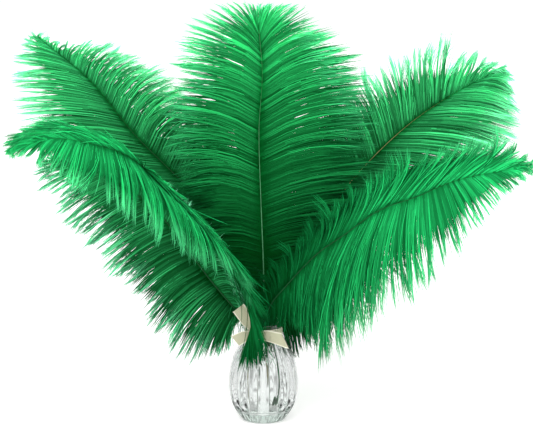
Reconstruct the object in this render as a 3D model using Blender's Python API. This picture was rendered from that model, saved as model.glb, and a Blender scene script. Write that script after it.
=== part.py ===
"""Six dyed ostrich plumes in a small clear fluted glass vase, with a ribbon bow at its neck.

Metres, +Z up. The origin is the middle of the vase's flat underside, the front faces -Y.
Tables of lengths are in millimetres, and MM turns them into metres. Angles of barbs are in
degrees in the upright plane that faces the front: 0 points right, 90 up, 180 left, 270 down.
"""

import math
import random
from bisect import bisect_right
from dataclasses import dataclass

import bmesh
import bpy
from mathutils import Matrix, Vector

MM = 0.001
MERGE_DISTANCE = 0.01
TOUCHING_GAP = 0.3
SMOOTH_BELOW = math.radians(40)
HALVINGS = 40
ROUTE_STEP = 0.001
TANGENT_REACH = 0.01

# The vase: an egg with a narrow neck and a small flared lip, (height, radius) in mm.
VASE_OUTSIDE = (
    (0, 19.0),
    (2.5, 21.0),
    (14, 27.2),
    (33, 30.0),
    (53, 27.8),
    (68, 20.6),
    (78, 15.4),
    (86, 17.2),
)
VASE_WALL = 2.2
VASE_FLOOR = 9.0
FLOOR_FILLET = 3.3
VASE_STEPS = 36
VASE_RINGS = 11
FLUTE_COUNT = 18
FLUTE_DEPTH = 1.1

# The ribbon: a band round the neck, and a bow tied at its front left.
RIBBON_THICKNESS = 0.8
BAND_HEIGHTS = (74.5, 78.5, 83.0)
BAND_CLEARANCE = 0.7
BAND_STEPS = 36
BOW_ARM_STEPS = 4
KNOT_CENTRE = (-7.6, -17.6, 79.8)
KNOT_SIZE = (8.6, 6.4, 9.4)
KNOT_TURN = 24.0

# The plumes. Locks stand for bundles of barbs, and the web is where they still lie together.
LOCKS_A_SIDE = 20
STEM_STEPS = 8
STEM_FOOT_RADIUS = 1.15
STEM_FOOT_HEIGHT = VASE_FLOOR + TOUCHING_GAP + STEM_FOOT_RADIUS / 3
SHAFT_TIP_RADIUS = 0.35
EDGE_ROUNDING = 0.45
VANE_THICKNESS = 0.8
LOCK_THICKNESS_AT_TIP = 0.5
WEB_SHARES = (0.22, 0.45)
LOCK_WAIST_SHARE = 0.75
LOCK_WAIST_WIDTH = 0.58
LOCK_LENGTH_SPREAD = 0.07
TOWARDS_FRONT = Vector((0.0, -1.0, 0.0))


@dataclass(frozen=True)
class Sweep:
    """How the barbs lie at one place along the plume, 0 at its lowest barbs and 1 at its tip."""

    place: float
    start_angle: float
    end_angle: float
    forward: float
    length: float

    def start(self):
        """Direction in which a barb leaves the shaft."""
        angle = math.radians(self.start_angle)
        return Vector((math.cos(angle), -self.forward, math.sin(angle)))

    def end(self, curl):
        """Direction in which a barb ends, turned to the front by the plume's curl towards its tip."""
        angle = math.radians(self.end_angle)
        return Vector((math.cos(angle), -curl * self.place, math.sin(angle)))


@dataclass(frozen=True)
class Plume:
    """One feather: its shaft's route from foot to tip, and the barbs on either side of it."""

    name: str
    colour: tuple
    foot: tuple
    route: tuple
    barbs_from: float
    curl: float
    left: tuple
    right: tuple
    seed: int


PLUMES = (
    Plume(
        name="feather_rear_centre",
        colour=(0.012, 0.235, 0.075),
        foot=((7.5, 5.0, STEM_FOOT_HEIGHT), (4.5, 5.0, 45.0)),
        route=(
            (2.2, 5.0, 79.0),
            (0.5, 6.5, 114.0),
            (-0.4, 8.5, 146.0),
            (-2.2, 12.0, 191.0),
            (-3.9, 19.0, 254.0),
            (-1.0, 24.0, 302.0),
            (-3.0, 22.0, 331.0),
            (-4.5, 12.0, 345.0),
        ),
        barbs_from=93.0,
        curl=0.5,
        left=(
            Sweep(0.00, 165, 235, 0.0, 44),
            Sweep(0.12, 160, 215, 0.0, 70),
            Sweep(0.35, 152, 200, 0.0, 88),
            Sweep(0.62, 146, 184, 0.0, 98),
            Sweep(0.76, 144, 178, 0.0, 96),
            Sweep(0.87, 138, 168, 0.0, 80),
            Sweep(0.95, 126, 148, 0.0, 46),
            Sweep(1.00, 104, 110, 0.0, 16),
        ),
        right=(
            Sweep(0.00, 15, -50, 0.0, 44),
            Sweep(0.12, 20, -25, 0.0, 76),
            Sweep(0.35, 24, -2, 0.0, 106),
            Sweep(0.62, 34, -2, 0.0, 112),
            Sweep(0.76, 40, 6, 0.0, 104),
            Sweep(0.87, 44, 12, 0.0, 78),
            Sweep(0.95, 56, 34, 0.0, 46),
            Sweep(1.00, 80, 74, 0.0, 16),
        ),
        seed=11,
    ),
    Plume(
        name="feather_rear_left",
        colour=(0.014, 0.262, 0.090),
        foot=((7.0, 10.2, STEM_FOOT_HEIGHT), (5.0, 10.6, 45.0)),
        route=(
            (1.0, 10.6, 79.0),
            (-4.0, 13.0, 104.0),
            (-18.2, 22.0, 147.0),
            (-47.7, 33.0, 183.5),
            (-86.6, 46.0, 219.0),
            (-116.8, 56.0, 248.0),
            (-158.0, 68.0, 296.0),
            (-205.0, 79.0, 334.0),
        ),
        barbs_from=96.0,
        curl=-0.45,
        left=(
            Sweep(0.00, 205, 255, 0.0, 28),
            Sweep(0.20, 195, 235, 0.0, 66),
            Sweep(0.42, 175, 202, 0.0, 112),
            Sweep(0.58, 168, 192, 0.0, 116),
            Sweep(0.70, 165, 190, 0.0, 106),
            Sweep(0.82, 161, 185, 0.0, 80),
            Sweep(0.92, 156, 178, 0.0, 43),
            Sweep(1.00, 146, 152, 0.0, 7),
        ),
        right=(
            Sweep(0.00, 40, -30, 0.0, 30),
            Sweep(0.20, 60, -10, 0.0, 64),
            Sweep(0.42, 72, -2, 0.0, 83),
            Sweep(0.62, 74, 6, 0.0, 84),
            Sweep(0.78, 78, 12, 0.0, 56),
            Sweep(0.89, 84, 24, 0.0, 20),
            Sweep(1.00, 130, 120, 0.0, 6),
        ),
        seed=12,
    ),
    Plume(
        name="feather_rear_right",
        colour=(0.014, 0.262, 0.090),
        foot=((-8.0, 7.8, STEM_FOOT_HEIGHT), (-3.0, 7.8, 45.0)),
        route=(
            (6.5, 7.8, 79.0),
            (15.0, 9.6, 100.0),
            (29.7, 16.0, 135.0),
            (54.5, 24.0, 174.0),
            (79.7, 34.0, 209.5),
            (124.7, 46.0, 253.0),
            (166.0, 57.0, 281.0),
            (211.0, 67.0, 304.0),
        ),
        barbs_from=94.0,
        curl=-0.45,
        left=(
            Sweep(0.00, 135, 190, 0.0, 26),
            Sweep(0.20, 125, 165, 0.0, 64),
            Sweep(0.44, 106, 140, 0.0, 94),
            Sweep(0.60, 102, 122, 0.0, 86),
            Sweep(0.70, 96, 106, 0.0, 74),
            Sweep(0.81, 88, 84, 0.0, 57),
            Sweep(0.92, 66, 44, 0.0, 33),
            Sweep(1.00, 35, 15, 0.0, 14),
        ),
        right=(
            Sweep(0.00, -50, -88, 0.0, 50),
            Sweep(0.10, -38, -80, 0.0, 74),
            Sweep(0.30, -12, -44, 0.0, 98),
            Sweep(0.55, 2, -24, 0.0, 120),
            Sweep(0.70, 6, -22, 0.0, 112),
            Sweep(0.82, 6, -32, 0.0, 88),
            Sweep(0.93, 2, -50, 0.0, 52),
            Sweep(1.00, 0, -44, 0.0, 18),
        ),
        seed=13,
    ),
    Plume(
        name="feather_lower_left",
        colour=(0.020, 0.250, 0.095),
        foot=((11.5, -3.6, STEM_FOOT_HEIGHT), (4.0, -3.6, 45.0)),
        route=(
            (-8.4, -3.6, 74.0),
            (-12.8, -3.8, 86.5),
            (-26.0, -5.0, 101.0),
            (-46.0, -7.0, 125.5),
            (-64.5, -9.0, 150.5),
            (-97.5, -12.5, 192.0),
            (-152.5, -15.0, 226.0),
            (-180.0, -16.0, 231.0),
        ),
        barbs_from=95.0,
        curl=0.15,
        left=(
            Sweep(0.00, 240, 262, 0.0, 44),
            Sweep(0.07, 228, 250, 0.0, 70),
            Sweep(0.16, 210, 238, 0.0, 76),
            Sweep(0.38, 198, 226, 0.0, 75),
            Sweep(0.65, 200, 224, 0.0, 67),
            Sweep(0.88, 195, 218, 0.0, 46),
            Sweep(1.00, 175, 185, 0.0, 12),
        ),
        right=(
            Sweep(0.00, -20, -80, 0.0, 18),
            Sweep(0.15, 30, -50, 0.0, 36),
            Sweep(0.38, 60, 0, 0.0, 34),
            Sweep(0.65, 90, 50, 0.0, 24),
            Sweep(0.88, 125, 115, 0.0, 16),
            Sweep(1.00, 155, 150, 0.0, 8),
        ),
        seed=14,
    ),
    Plume(
        name="feather_front_left",
        colour=(0.022, 0.400, 0.150),
        foot=((7.0, -6.6, STEM_FOOT_HEIGHT), (3.0, -6.8, 45.0)),
        route=(
            (-4.5, -6.9, 79.0),
            (-10.0, -9.0, 101.0),
            (-28.8, -16.0, 136.0),
            (-54.0, -27.0, 172.5),
            (-82.4, -42.0, 208.5),
            (-110.9, -55.0, 237.5),
            (-140.0, -66.0, 249.5),
            (-172.7, -76.0, 254.5),
            (-199.0, -83.0, 247.0),
        ),
        barbs_from=92.0,
        curl=0.35,
        left=(
            Sweep(0.00, 245, 262, 0.0, 9),
            Sweep(0.10, 262, 270, 0.0, 18),
            Sweep(0.22, 280, 276, 0.2, 34),
            Sweep(0.36, 296, 274, 0.4, 56),
            Sweep(0.50, 296, 268, 0.4, 70),
            Sweep(0.64, 286, 264, 0.3, 66),
            Sweep(0.74, 272, 258, 0.2, 52),
            Sweep(0.84, 240, 250, 0.1, 34),
            Sweep(0.93, 208, 230, 0.1, 20),
            Sweep(1.00, 196, 210, 0.0, 8),
        ),
        right=(
            Sweep(0.00, -60, -88, 2.4, 32),
            Sweep(0.12, 20, -76, 1.8, 48),
            Sweep(0.30, 30, -64, 1.6, 62),
            Sweep(0.48, 60, -80, 1.8, 54),
            Sweep(0.64, 118, 165, 0.9, 46),
            Sweep(0.78, 132, 176, 0.4, 56),
            Sweep(0.92, 150, 194, 0.2, 36),
            Sweep(1.00, 178, 196, 0.0, 8),
        ),
        seed=15,
    ),
    Plume(
        name="feather_front_right",
        colour=(0.018, 0.380, 0.140),
        foot=((-5.0, -9.8, STEM_FOOT_HEIGHT), (-3.5, -10.0, 45.0)),
        route=(
            (-0.8, -10.1, 79.0),
            (5.7, -12.2, 103.5),
            (19.5, -16.5, 122.0),
            (44.9, -27.0, 151.0),
            (68.2, -36.0, 169.5),
            (97.5, -48.0, 192.5),
            (126.3, -58.0, 204.5),
            (157.8, -68.0, 219.5),
            (211.0, -80.0, 232.0),
        ),
        barbs_from=95.0,
        curl=0.35,
        left=(
            Sweep(0.00, 105, 120, 0.1, 22),
            Sweep(0.20, 68, 80, 0.1, 44),
            Sweep(0.45, 60, 64, 0.1, 54),
            Sweep(0.70, 50, 50, 0.1, 58),
            Sweep(0.88, 36, 26, 0.1, 42),
            Sweep(1.00, 16, 8, 0.0, 10),
        ),
        right=(
            Sweep(0.00, -45, -75, 0.5, 14),
            Sweep(0.10, -84, -88, 0.5, 42),
            Sweep(0.20, -108, -88, 0.4, 72),
            Sweep(0.30, -114, -86, 0.3, 100),
            Sweep(0.42, -118, -84, 0.3, 124),
            Sweep(0.54, -114, -82, 0.3, 118),
            Sweep(0.66, -96, -78, 0.2, 86),
            Sweep(0.76, -66, -74, 0.2, 54),
            Sweep(0.86, -34, -50, 0.1, 30),
            Sweep(0.94, -18, -30, 0.1, 21),
            Sweep(1.00, -6, -12, 0.0, 9),
        ),
        seed=16,
    ),
)


@dataclass(frozen=True)
class BowArm:
    """A loop or a tail of the bow: its middle line from the knot out, and half its width at both ends."""

    middle: tuple
    half_width_at_knot: tuple
    half_width_at_end: tuple
    thickness_at_end: float


BOW_ARMS = {
    "upper_loop": BowArm(
        middle=((-9.0, -18.0, 81.5), (-14.5, -20.5, 92.0), (-21.5, -22.0, 103.4)),
        half_width_at_knot=(1.6, 0.4, -1.2),
        half_width_at_end=(4.0, 0.8, 3.4),
        thickness_at_end=3.4,
    ),
    "side_tail": BowArm(
        middle=((-8.5, -18.5, 80.0), (-16.0, -20.5, 78.6), (-24.2, -20.5, 74.6)),
        half_width_at_knot=(-0.6, 0.0, 3.2),
        half_width_at_end=(-3.2, 0.0, 3.6),
        thickness_at_end=RIBBON_THICKNESS,
    ),
    "right_loop": BowArm(
        middle=((-6.0, -18.5, 79.0), (6.0, -21.5, 78.6), (18.8, -20.5, 74.6)),
        half_width_at_knot=(0.0, 0.0, 3.0),
        half_width_at_end=(-3.2, 1.0, 6.8),
        thickness_at_end=3.4,
    ),
    "upper_tail": BowArm(
        middle=((-8.8, -18.0, 81.0), (-11.2, -19.8, 94.0), (-13.6, -20.8, 107.0)),
        half_width_at_knot=(1.2, 1.6, 0.0),
        half_width_at_end=(0.9, 4.2, 0.0),
        thickness_at_end=RIBBON_THICKNESS,
    ),
}


def smooth_through(points, value):
    """The place at value, 0 to 1 by distance, on a smooth curve through the points."""
    vectors = [Vector(point) for point in points]
    lengths = [0.0]
    for first, second in zip(vectors, vectors[1:]):
        lengths.append(lengths[-1] + (second - first).length)
    distance = value * lengths[-1]
    span = min(bisect_right(lengths, distance) - 1, len(vectors) - 2)
    share = (distance - lengths[span]) / (lengths[span + 1] - lengths[span])
    slopes = []
    for index in (span, span + 1):
        low = max(index - 1, 0)
        high = min(index + 1, len(vectors) - 1)
        slopes.append((vectors[high] - vectors[low]) / (lengths[high] - lengths[low]))
    reach = lengths[span + 1] - lengths[span]
    square = share * share
    cube = square * share
    return (
        vectors[span] * (2 * cube - 3 * square + 1)
        + slopes[0] * reach * (cube - 2 * square + share)
        + vectors[span + 1] * (3 * square - 2 * cube)
        + slopes[1] * reach * (cube - square)
    )


def painted(name, colour, roughness, transmission=0.0):
    """A Principled material of one colour."""
    material = bpy.data.materials.new(name)
    material.use_nodes = True
    shader = material.node_tree.nodes["Principled BSDF"]
    shader.inputs["Base Color"].default_value = (*colour, 1.0)
    shader.inputs["Roughness"].default_value = roughness
    shader.inputs["Metallic"].default_value = 0.0
    shader.inputs["Transmission Weight"].default_value = transmission
    return material


def finished(name, shape, material, parent):
    """An object made of a bmesh, in the scene and under the parent."""
    mesh = bpy.data.meshes.new(name)
    shape.to_mesh(mesh)
    shape.free()
    mesh.shade_smooth()
    mesh.set_sharp_from_angle(angle=SMOOTH_BELOW)
    mesh.materials.append(material)
    piece = bpy.data.objects.new(name, mesh)
    piece.parent = parent
    bpy.context.scene.collection.objects.link(piece)
    return piece


def turned(profile, steps):
    """A closed body turned round the Z axis from (radius, height) points in metres."""
    shape = bmesh.new()
    points = [shape.verts.new((radius, 0.0, height)) for radius, height in profile]
    edges = [shape.edges.new(pair) for pair in zip(points, points[1:])]
    bmesh.ops.spin(
        shape,
        geom=points + edges,
        cent=(0, 0, 0),
        axis=(0, 0, 1),
        angle=math.tau,
        steps=steps,
        use_merge=True,
    )
    bmesh.ops.remove_doubles(shape, verts=shape.verts, dist=MERGE_DISTANCE * MM)
    bmesh.ops.recalc_face_normals(shape, faces=shape.faces)
    return shape


def vase_radius(height):
    """The vase's outside radius at a height, on the ridge of a flute, both in mm."""
    low, high = 0.0, 1.0
    for _ in range(HALVINGS):
        middle = (low + high) / 2
        if smooth_through(VASE_OUTSIDE, middle)[0] < height:
            low = middle
        else:
            high = middle
    return smooth_through(VASE_OUTSIDE, (low + high) / 2)[1]


def vase_shape():
    """The vase: fluted outside, plain inside, with a thick flat bottom."""
    top = VASE_OUTSIDE[-1][0]
    heights = [top * ring / VASE_RINGS for ring in range(VASE_RINGS + 1)]
    outside = [(vase_radius(height), height) for height in heights]
    lip = [(outside[-1][0] - VASE_WALL / 2, top + VASE_WALL / 3)]
    inner_heights = [height for height in reversed(heights) if height > VASE_FLOOR + VASE_WALL]
    inside = [(vase_radius(height) - VASE_WALL, height) for height in inner_heights]
    bottom = vase_radius(VASE_FLOOR) - VASE_WALL - FLOOR_FILLET
    profile = [(0.0, 0.0), *outside, *lip, *inside, (bottom, VASE_FLOOR), (0.0, VASE_FLOOR)]
    shape = turned([(radius * MM, height * MM) for radius, height in profile], VASE_STEPS)
    for vertex in shape.verts:
        height = vertex.co.z / MM
        radius = math.hypot(vertex.co.x, vertex.co.y) / MM
        if not 0 < height < top or radius < vase_radius(height) - VASE_WALL / 2:
            continue
        angle = math.atan2(vertex.co.y, vertex.co.x)
        hollow = 1 - abs(math.cos(FLUTE_COUNT * angle / 2))
        cut = FLUTE_DEPTH * hollow * math.sin(math.pi * height / top) ** 0.5
        vertex.co.x *= 1 - cut / radius
        vertex.co.y *= 1 - cut / radius
    return shape


def thickened(points, faces, half_thicknesses):
    """A closed body: a sheet of faces, each of its points as thick as it is given, walls included."""
    sheet = bmesh.new()
    for point in points:
        sheet.verts.new(point * MM)
    sheet.verts.ensure_lookup_table()
    for face in faces:
        sheet.faces.new([sheet.verts[index] for index in face])
    sheet.verts.index_update()
    sheet.normal_update()
    shape = bmesh.new()
    front = []
    back = []
    for vertex, half in zip(sheet.verts, half_thicknesses):
        front.append(shape.verts.new(vertex.co + vertex.normal * half * MM))
        back.append(shape.verts.new(vertex.co - vertex.normal * half * MM))
    for face in sheet.faces:
        indices = [vertex.index for vertex in face.verts]
        shape.faces.new([front[index] for index in indices])
        shape.faces.new([back[index] for index in reversed(indices)])
        for loop in face.loops:
            if loop.edge.is_boundary:
                first = loop.vert.index
                second = loop.link_loop_next.vert.index
                shape.faces.new((front[second], front[first], back[first], back[second]))
    sheet.free()
    bmesh.ops.recalc_face_normals(shape, faces=shape.faces)
    return shape


class Sheet:
    """Points, faces and half thicknesses of a sheet that is being built."""

    def __init__(self):
        self.points = []
        self.faces = []
        self.halves = []

    def add(self, point, half):
        """Adds a point and gives its number."""
        self.points.append(point)
        self.halves.append(half)
        return len(self.points) - 1

    def face(self, corners, flip):
        """Adds a face, turned round where flip is set."""
        self.faces.append(tuple(reversed(corners)) if flip else tuple(corners))


def band_shape():
    """The band of ribbon round the neck, a small gap off the glass."""
    inside = [(vase_radius(height) + BAND_CLEARANCE, height) for height in BAND_HEIGHTS]
    outside = [(radius + RIBBON_THICKNESS, height) for radius, height in reversed(inside)]
    profile = [*inside, *outside, inside[0]]
    return turned([(radius * MM, height * MM) for radius, height in profile], BAND_STEPS)


def knot_shape():
    """The knot, a puffed block across the band."""
    shape = bmesh.new()
    bmesh.ops.create_icosphere(shape, subdivisions=2, radius=0.5)
    bmesh.ops.scale(shape, vec=[side * MM for side in KNOT_SIZE], verts=shape.verts)
    turn = Matrix.Rotation(math.radians(-KNOT_TURN), 3, "Z")
    bmesh.ops.rotate(shape, cent=(0, 0, 0), matrix=turn, verts=shape.verts)
    bmesh.ops.translate(shape, vec=Vector(KNOT_CENTRE) * MM, verts=shape.verts)
    return shape


def bow_arm_shape(arm):
    """One loop or tail: a strip that widens and thickens from the knot to its end."""
    sheet = Sheet()
    rows = []
    near = Vector(arm.half_width_at_knot)
    far = Vector(arm.half_width_at_end)
    for step in range(BOW_ARM_STEPS + 1):
        share = step / BOW_ARM_STEPS
        middle = smooth_through(arm.middle, share)
        side = near.lerp(far, share)
        half = (RIBBON_THICKNESS + (arm.thickness_at_end - RIBBON_THICKNESS) * share) / 2
        rows.append([sheet.add(middle + side * place, half) for place in (-1, 0, 1)])
    for low, high in zip(rows, rows[1:]):
        sheet.face((low[0], low[1], high[1], high[0]), False)
        sheet.face((low[1], low[2], high[2], high[1]), False)
    return thickened(sheet.points, sheet.faces, sheet.halves)


def sweep_at(sweeps, curl, place):
    """Start direction, end direction and length of a barb at a place, between the sweeps."""
    places = [sweep.place for sweep in sweeps]
    span = min(bisect_right(places, place) - 1, len(sweeps) - 2)
    low, high = sweeps[span], sweeps[span + 1]
    share = (place - low.place) / (high.place - low.place)
    start = low.start().lerp(high.start(), share).normalized()
    end = low.end(curl).lerp(high.end(curl), share).normalized()
    return start, end, low.length + (high.length - low.length) * share


def barb_point(root, sweep, share, stretch=1.0):
    """A point on a barb that bends evenly from its start direction to its end direction."""
    start, end, length = sweep
    return root + (start * (share - share * share / 2) + end * share * share / 2) * length * stretch


def add_shaft(sheet, plume, stations):
    """The shaft's three rows of points, left edge, ridge and right edge, and its faces."""
    route = plume.foot + plume.route
    rows = []
    for value in stations:
        centre = smooth_through(route, value)
        ahead = smooth_through(route, min(value + TANGENT_REACH, 1.0))
        behind = smooth_through(route, max(value - TANGENT_REACH, 0.0))
        along = (ahead - behind).normalized()
        across = along.cross(TOWARDS_FRONT).normalized()
        radius = STEM_FOOT_RADIUS + (SHAFT_TIP_RADIUS - STEM_FOOT_RADIUS) * value
        rim = radius * EDGE_ROUNDING
        rows.append(
            (
                sheet.add(centre - across * radius, rim),
                sheet.add(centre, radius),
                sheet.add(centre + across * radius, rim),
            )
        )
    for low, high in zip(rows, rows[1:]):
        sheet.face((low[0], low[1], high[1], high[0]), False)
        sheet.face((low[1], low[2], high[2], high[1]), False)
    return rows


def add_vane(sheet, roots, sweeps, curl, flip, draw):
    """One side's vane: a web from the shaft's edge, then a lock between each two stations."""
    count = len(roots) - 1
    half = VANE_THICKNESS / 2
    paths = [sweep_at(sweeps, curl, number / count) for number in range(count + 1)]
    rows = [roots]
    for share in WEB_SHARES:
        row = []
        for root, path in zip(roots, paths):
            row.append(sheet.add(barb_point(sheet.points[root], path, share), half))
        rows.append(row)
    for near, far in zip(rows, rows[1:]):
        for number in range(count):
            corners = (near[number], far[number], far[number + 1], near[number + 1])
            sheet.face(corners, flip)
    edge = rows[-1]
    for number in range(count):
        low, high = sheet.points[roots[number]], sheet.points[roots[number + 1]]
        path = sweep_at(sweeps, curl, (number + 0.5) / count)
        stretch = 1 + draw.uniform(-LOCK_LENGTH_SPREAD, LOCK_LENGTH_SPREAD)
        waist = barb_point((low + high) / 2, path, LOCK_WAIST_SHARE, stretch)
        spread = barb_point(high, paths[number + 1], LOCK_WAIST_SHARE)
        spread -= barb_point(low, paths[number], LOCK_WAIST_SHARE)
        side = spread * LOCK_WAIST_WIDTH / 2
        lower = sheet.add(waist - side, half)
        upper = sheet.add(waist + side, half)
        tip = sheet.add(barb_point((low + high) / 2, path, 1.0, stretch), LOCK_THICKNESS_AT_TIP / 2)
        sheet.face((edge[number], lower, upper, edge[number + 1]), flip)
        sheet.face((lower, tip, upper), flip)


def share_at_height(route, height):
    """How far along the route, 0 to 1, it first passes a height."""
    value = 0.0
    while smooth_through(route, value)[2] < height:
        value += ROUTE_STEP
    return value


def plume_shape(plume):
    """One feather: its stem, its shaft and the vanes on both sides, fused in one body."""
    first = share_at_height(plume.foot + plume.route, plume.barbs_from)
    stem = [first * step / STEM_STEPS for step in range(STEM_STEPS)]
    plumed = [first + (1 - first) * step / LOCKS_A_SIDE for step in range(LOCKS_A_SIDE + 1)]
    sheet = Sheet()
    rows = add_shaft(sheet, plume, stem + plumed)[STEM_STEPS:]
    draw = random.Random(plume.seed)
    add_vane(sheet, [row[0] for row in rows], plume.left, plume.curl, True, draw)
    add_vane(sheet, [row[2] for row in rows], plume.right, plume.curl, False, draw)
    return thickened(sheet.points, sheet.faces, sheet.halves)


def build_vase(parent):
    """The glass vase."""
    glass = painted("clear_glass", (0.93, 0.96, 0.94), 0.03, transmission=1.0)
    return finished("vase", vase_shape(), glass, parent)


def build_ribbon(parent):
    """The ribbon: the band round the neck, joined with the knot, the loops and the tails."""
    satin = painted("cream_ribbon", (0.58, 0.54, 0.42), 0.5)
    ribbon = finished("ribbon_bow", band_shape(), satin, parent)
    bow = bpy.data.collections.new("bow")
    bpy.context.scene.collection.children.link(bow)
    shapes = {"knot": knot_shape()}
    for name, arm in BOW_ARMS.items():
        shapes[name] = bow_arm_shape(arm)
    for name, shape in shapes.items():
        piece = finished("bow_" + name, shape, satin, parent)
        bpy.context.scene.collection.objects.unlink(piece)
        bow.objects.link(piece)
        piece.hide_render = True
        piece.display_type = "WIRE"
    join = ribbon.modifiers.new("join_bow", "BOOLEAN")
    join.operation = "UNION"
    join.operand_type = "COLLECTION"
    join.collection = bow
    return ribbon


def build_plumes(parent):
    """The six feathers, each with its own dye shade."""
    for plume in PLUMES:
        dyed = painted(plume.name + "_dye", plume.colour, 0.7)
        finished(plume.name, plume_shape(plume), dyed, parent)


def clear_scene():
    """Removes the objects that the scene starts with."""
    for piece in list(bpy.data.objects):
        bpy.data.objects.remove(piece, do_unlink=True)


def main():
    """Builds the whole arrangement under one empty."""
    clear_scene()
    arrangement = bpy.data.objects.new("arrangement", None)
    bpy.context.scene.collection.objects.link(arrangement)
    build_vase(arrangement)
    build_ribbon(arrangement)
    build_plumes(arrangement)


main()
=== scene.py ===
"""Looks of six dyed ostrich plumes in a small fluted glass vase with a ribbon bow at its neck.

Metres, +Z up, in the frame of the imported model: the origin is the middle of the vase's flat underside
and the front faces -Y. Tables of lengths are in millimetres, and MM turns them into metres. Angles of
barbs are in degrees in the upright plane that faces the front: 0 points right, 90 up, 180 left, 270 down.
"""

import logging
import math
from dataclasses import dataclass, field, replace
from enum import Enum

import bmesh
import bpy
import numpy as np
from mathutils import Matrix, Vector


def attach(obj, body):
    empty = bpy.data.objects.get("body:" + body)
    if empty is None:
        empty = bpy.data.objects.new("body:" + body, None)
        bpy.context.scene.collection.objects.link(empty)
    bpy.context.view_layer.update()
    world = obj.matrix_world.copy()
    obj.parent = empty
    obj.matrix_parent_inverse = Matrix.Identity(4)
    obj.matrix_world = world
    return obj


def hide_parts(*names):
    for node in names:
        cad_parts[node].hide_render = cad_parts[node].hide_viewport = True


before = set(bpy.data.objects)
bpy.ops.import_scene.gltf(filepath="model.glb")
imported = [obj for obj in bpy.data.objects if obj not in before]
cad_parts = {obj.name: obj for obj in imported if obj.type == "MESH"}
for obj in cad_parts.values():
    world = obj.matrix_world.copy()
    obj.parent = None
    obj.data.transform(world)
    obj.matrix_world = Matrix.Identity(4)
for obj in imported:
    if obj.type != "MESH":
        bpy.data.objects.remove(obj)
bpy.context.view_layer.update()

LOG = logging.getLogger("plumes")
MM = 0.001
BODY = "root"
OWN_MAP = "OFBake"
BARB_CELLS = 1000
BARB_MAP_WIDTH = 0.8 / BARB_CELLS
CURVE_STEPS = 2001
FRONTWARDS = np.array((0.0, -1.0, 0.0))
# Numbers of a mix node's two inputs and of its result, for each kind of data.
MIX_SOCKETS = {"FLOAT": (2, 3, 0), "RGBA": (6, 7, 2)}

Tree = bpy.types.NodeTree
Socket = bpy.types.NodeSocket
Rows = tuple[tuple[float, ...], ...]


# ---------------------------------------------------------------- small helpers


def linear(code: str) -> tuple[float, float, float, float]:
    """Turns an sRGB hex colour into linear light.

    Args:
        code: Six hex digits with a leading #.

    Returns:
        Red, green, blue and an alpha of 1.
    """
    parts = [int(code[start : start + 2], 16) / 255 for start in (1, 3, 5)]
    bent = [part / 12.92 if part <= 0.04045 else ((part + 0.055) / 1.055) ** 2.4 for part in parts]
    return (*bent, 1.0)


def plug(tree: Tree, node: bpy.types.Node, inputs: dict) -> None:
    """Sets or links a node's inputs.

    Args:
        tree: The node tree.
        node: The node.
        inputs: Socket names or numbers, each with a value or with an output socket to link.
    """
    for name, value in inputs.items():
        if isinstance(value, Socket):
            tree.links.new(value, node.inputs[name])
        else:
            node.inputs[name].default_value = value


def add_node(tree: Tree, kind: str, settings: dict | None = None, inputs: dict | None = None) -> bpy.types.Node:
    """Adds a node with its settings, and sets or links its inputs.

    Args:
        tree: The node tree.
        kind: The node's type name.
        settings: Property names and their values.
        inputs: What its sockets get, as for plug.

    Returns:
        The new node.
    """
    node = tree.nodes.new(kind)
    for name, value in (settings or {}).items():
        setattr(node, name, value)
    plug(tree, node, inputs or {})
    return node


def computed(tree: Tree, operation: str, *values: Socket | float) -> Socket:
    """The result of a maths node with these inputs, in order."""
    return add_node(tree, "ShaderNodeMath", {"operation": operation}, dict(enumerate(values))).outputs[0]


def ranged(
    tree: Tree, value: Socket, source: tuple[float, float], target: tuple[float, float], kind: str = "LINEAR"
) -> Socket:
    """Maps a value from one range to another, and holds it within that.

    Args:
        tree: The node tree.
        value: The value.
        source: The range's two ends.
        target: What they become.
        kind: How the values between them run.

    Returns:
        The mapped value.
    """
    inputs = dict(zip(("Value", "From Min", "From Max", "To Min", "To Max"), (value, *source, *target)))
    return add_node(tree, "ShaderNodeMapRange", {"interpolation_type": kind}, inputs).outputs[0]


def mixed(
    tree: Tree, kind: str, factor: Socket, low: Socket | float | tuple, high: Socket | float | tuple, **settings: bool
) -> Socket:
    """Mixes two values or colours.

    Args:
        tree: The node tree.
        kind: FLOAT or RGBA.
        factor: How much of the second one there is.
        low: The first one.
        high: The second one.
        settings: More of the node's settings.

    Returns:
        The mixture.
    """
    first, second, result = MIX_SOCKETS[kind]
    inputs = {"Factor": factor, first: low, second: high}
    return add_node(tree, "ShaderNodeMix", {"data_type": kind, **settings}, inputs).outputs[result]


def ramped(tree: Tree, value: Socket, stops: list[tuple[float, str]]) -> Socket:
    """Turns a value into a colour by a ramp.

    Args:
        tree: The node tree.
        value: The value, 0 to 1.
        stops: Two or more places from 0 to 1 with their sRGB hex colours.

    Returns:
        The colour.
    """
    node = add_node(tree, "ShaderNodeValToRGB", inputs={"Fac": value})
    elements = node.color_ramp.elements
    while len(elements) < len(stops):
        elements.new(1.0)
    for element, (place, code) in zip(elements, stops):
        element.position = place
        element.color = linear(code)
    return node.outputs["Color"]


def own_map(tree: Tree) -> tuple[Socket, Socket, Socket]:
    """Adds the nodes that give the piece's own UV map.

    Args:
        tree: The node tree.

    Returns:
        The place on the map, and its parts across and up.
    """
    vector = add_node(tree, "ShaderNodeUVMap", {"uv_map": OWN_MAP}).outputs["UV"]
    parts = add_node(tree, "ShaderNodeSeparateXYZ", inputs={"Vector": vector})
    return vector, parts.outputs["X"], parts.outputs["Y"]


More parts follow.
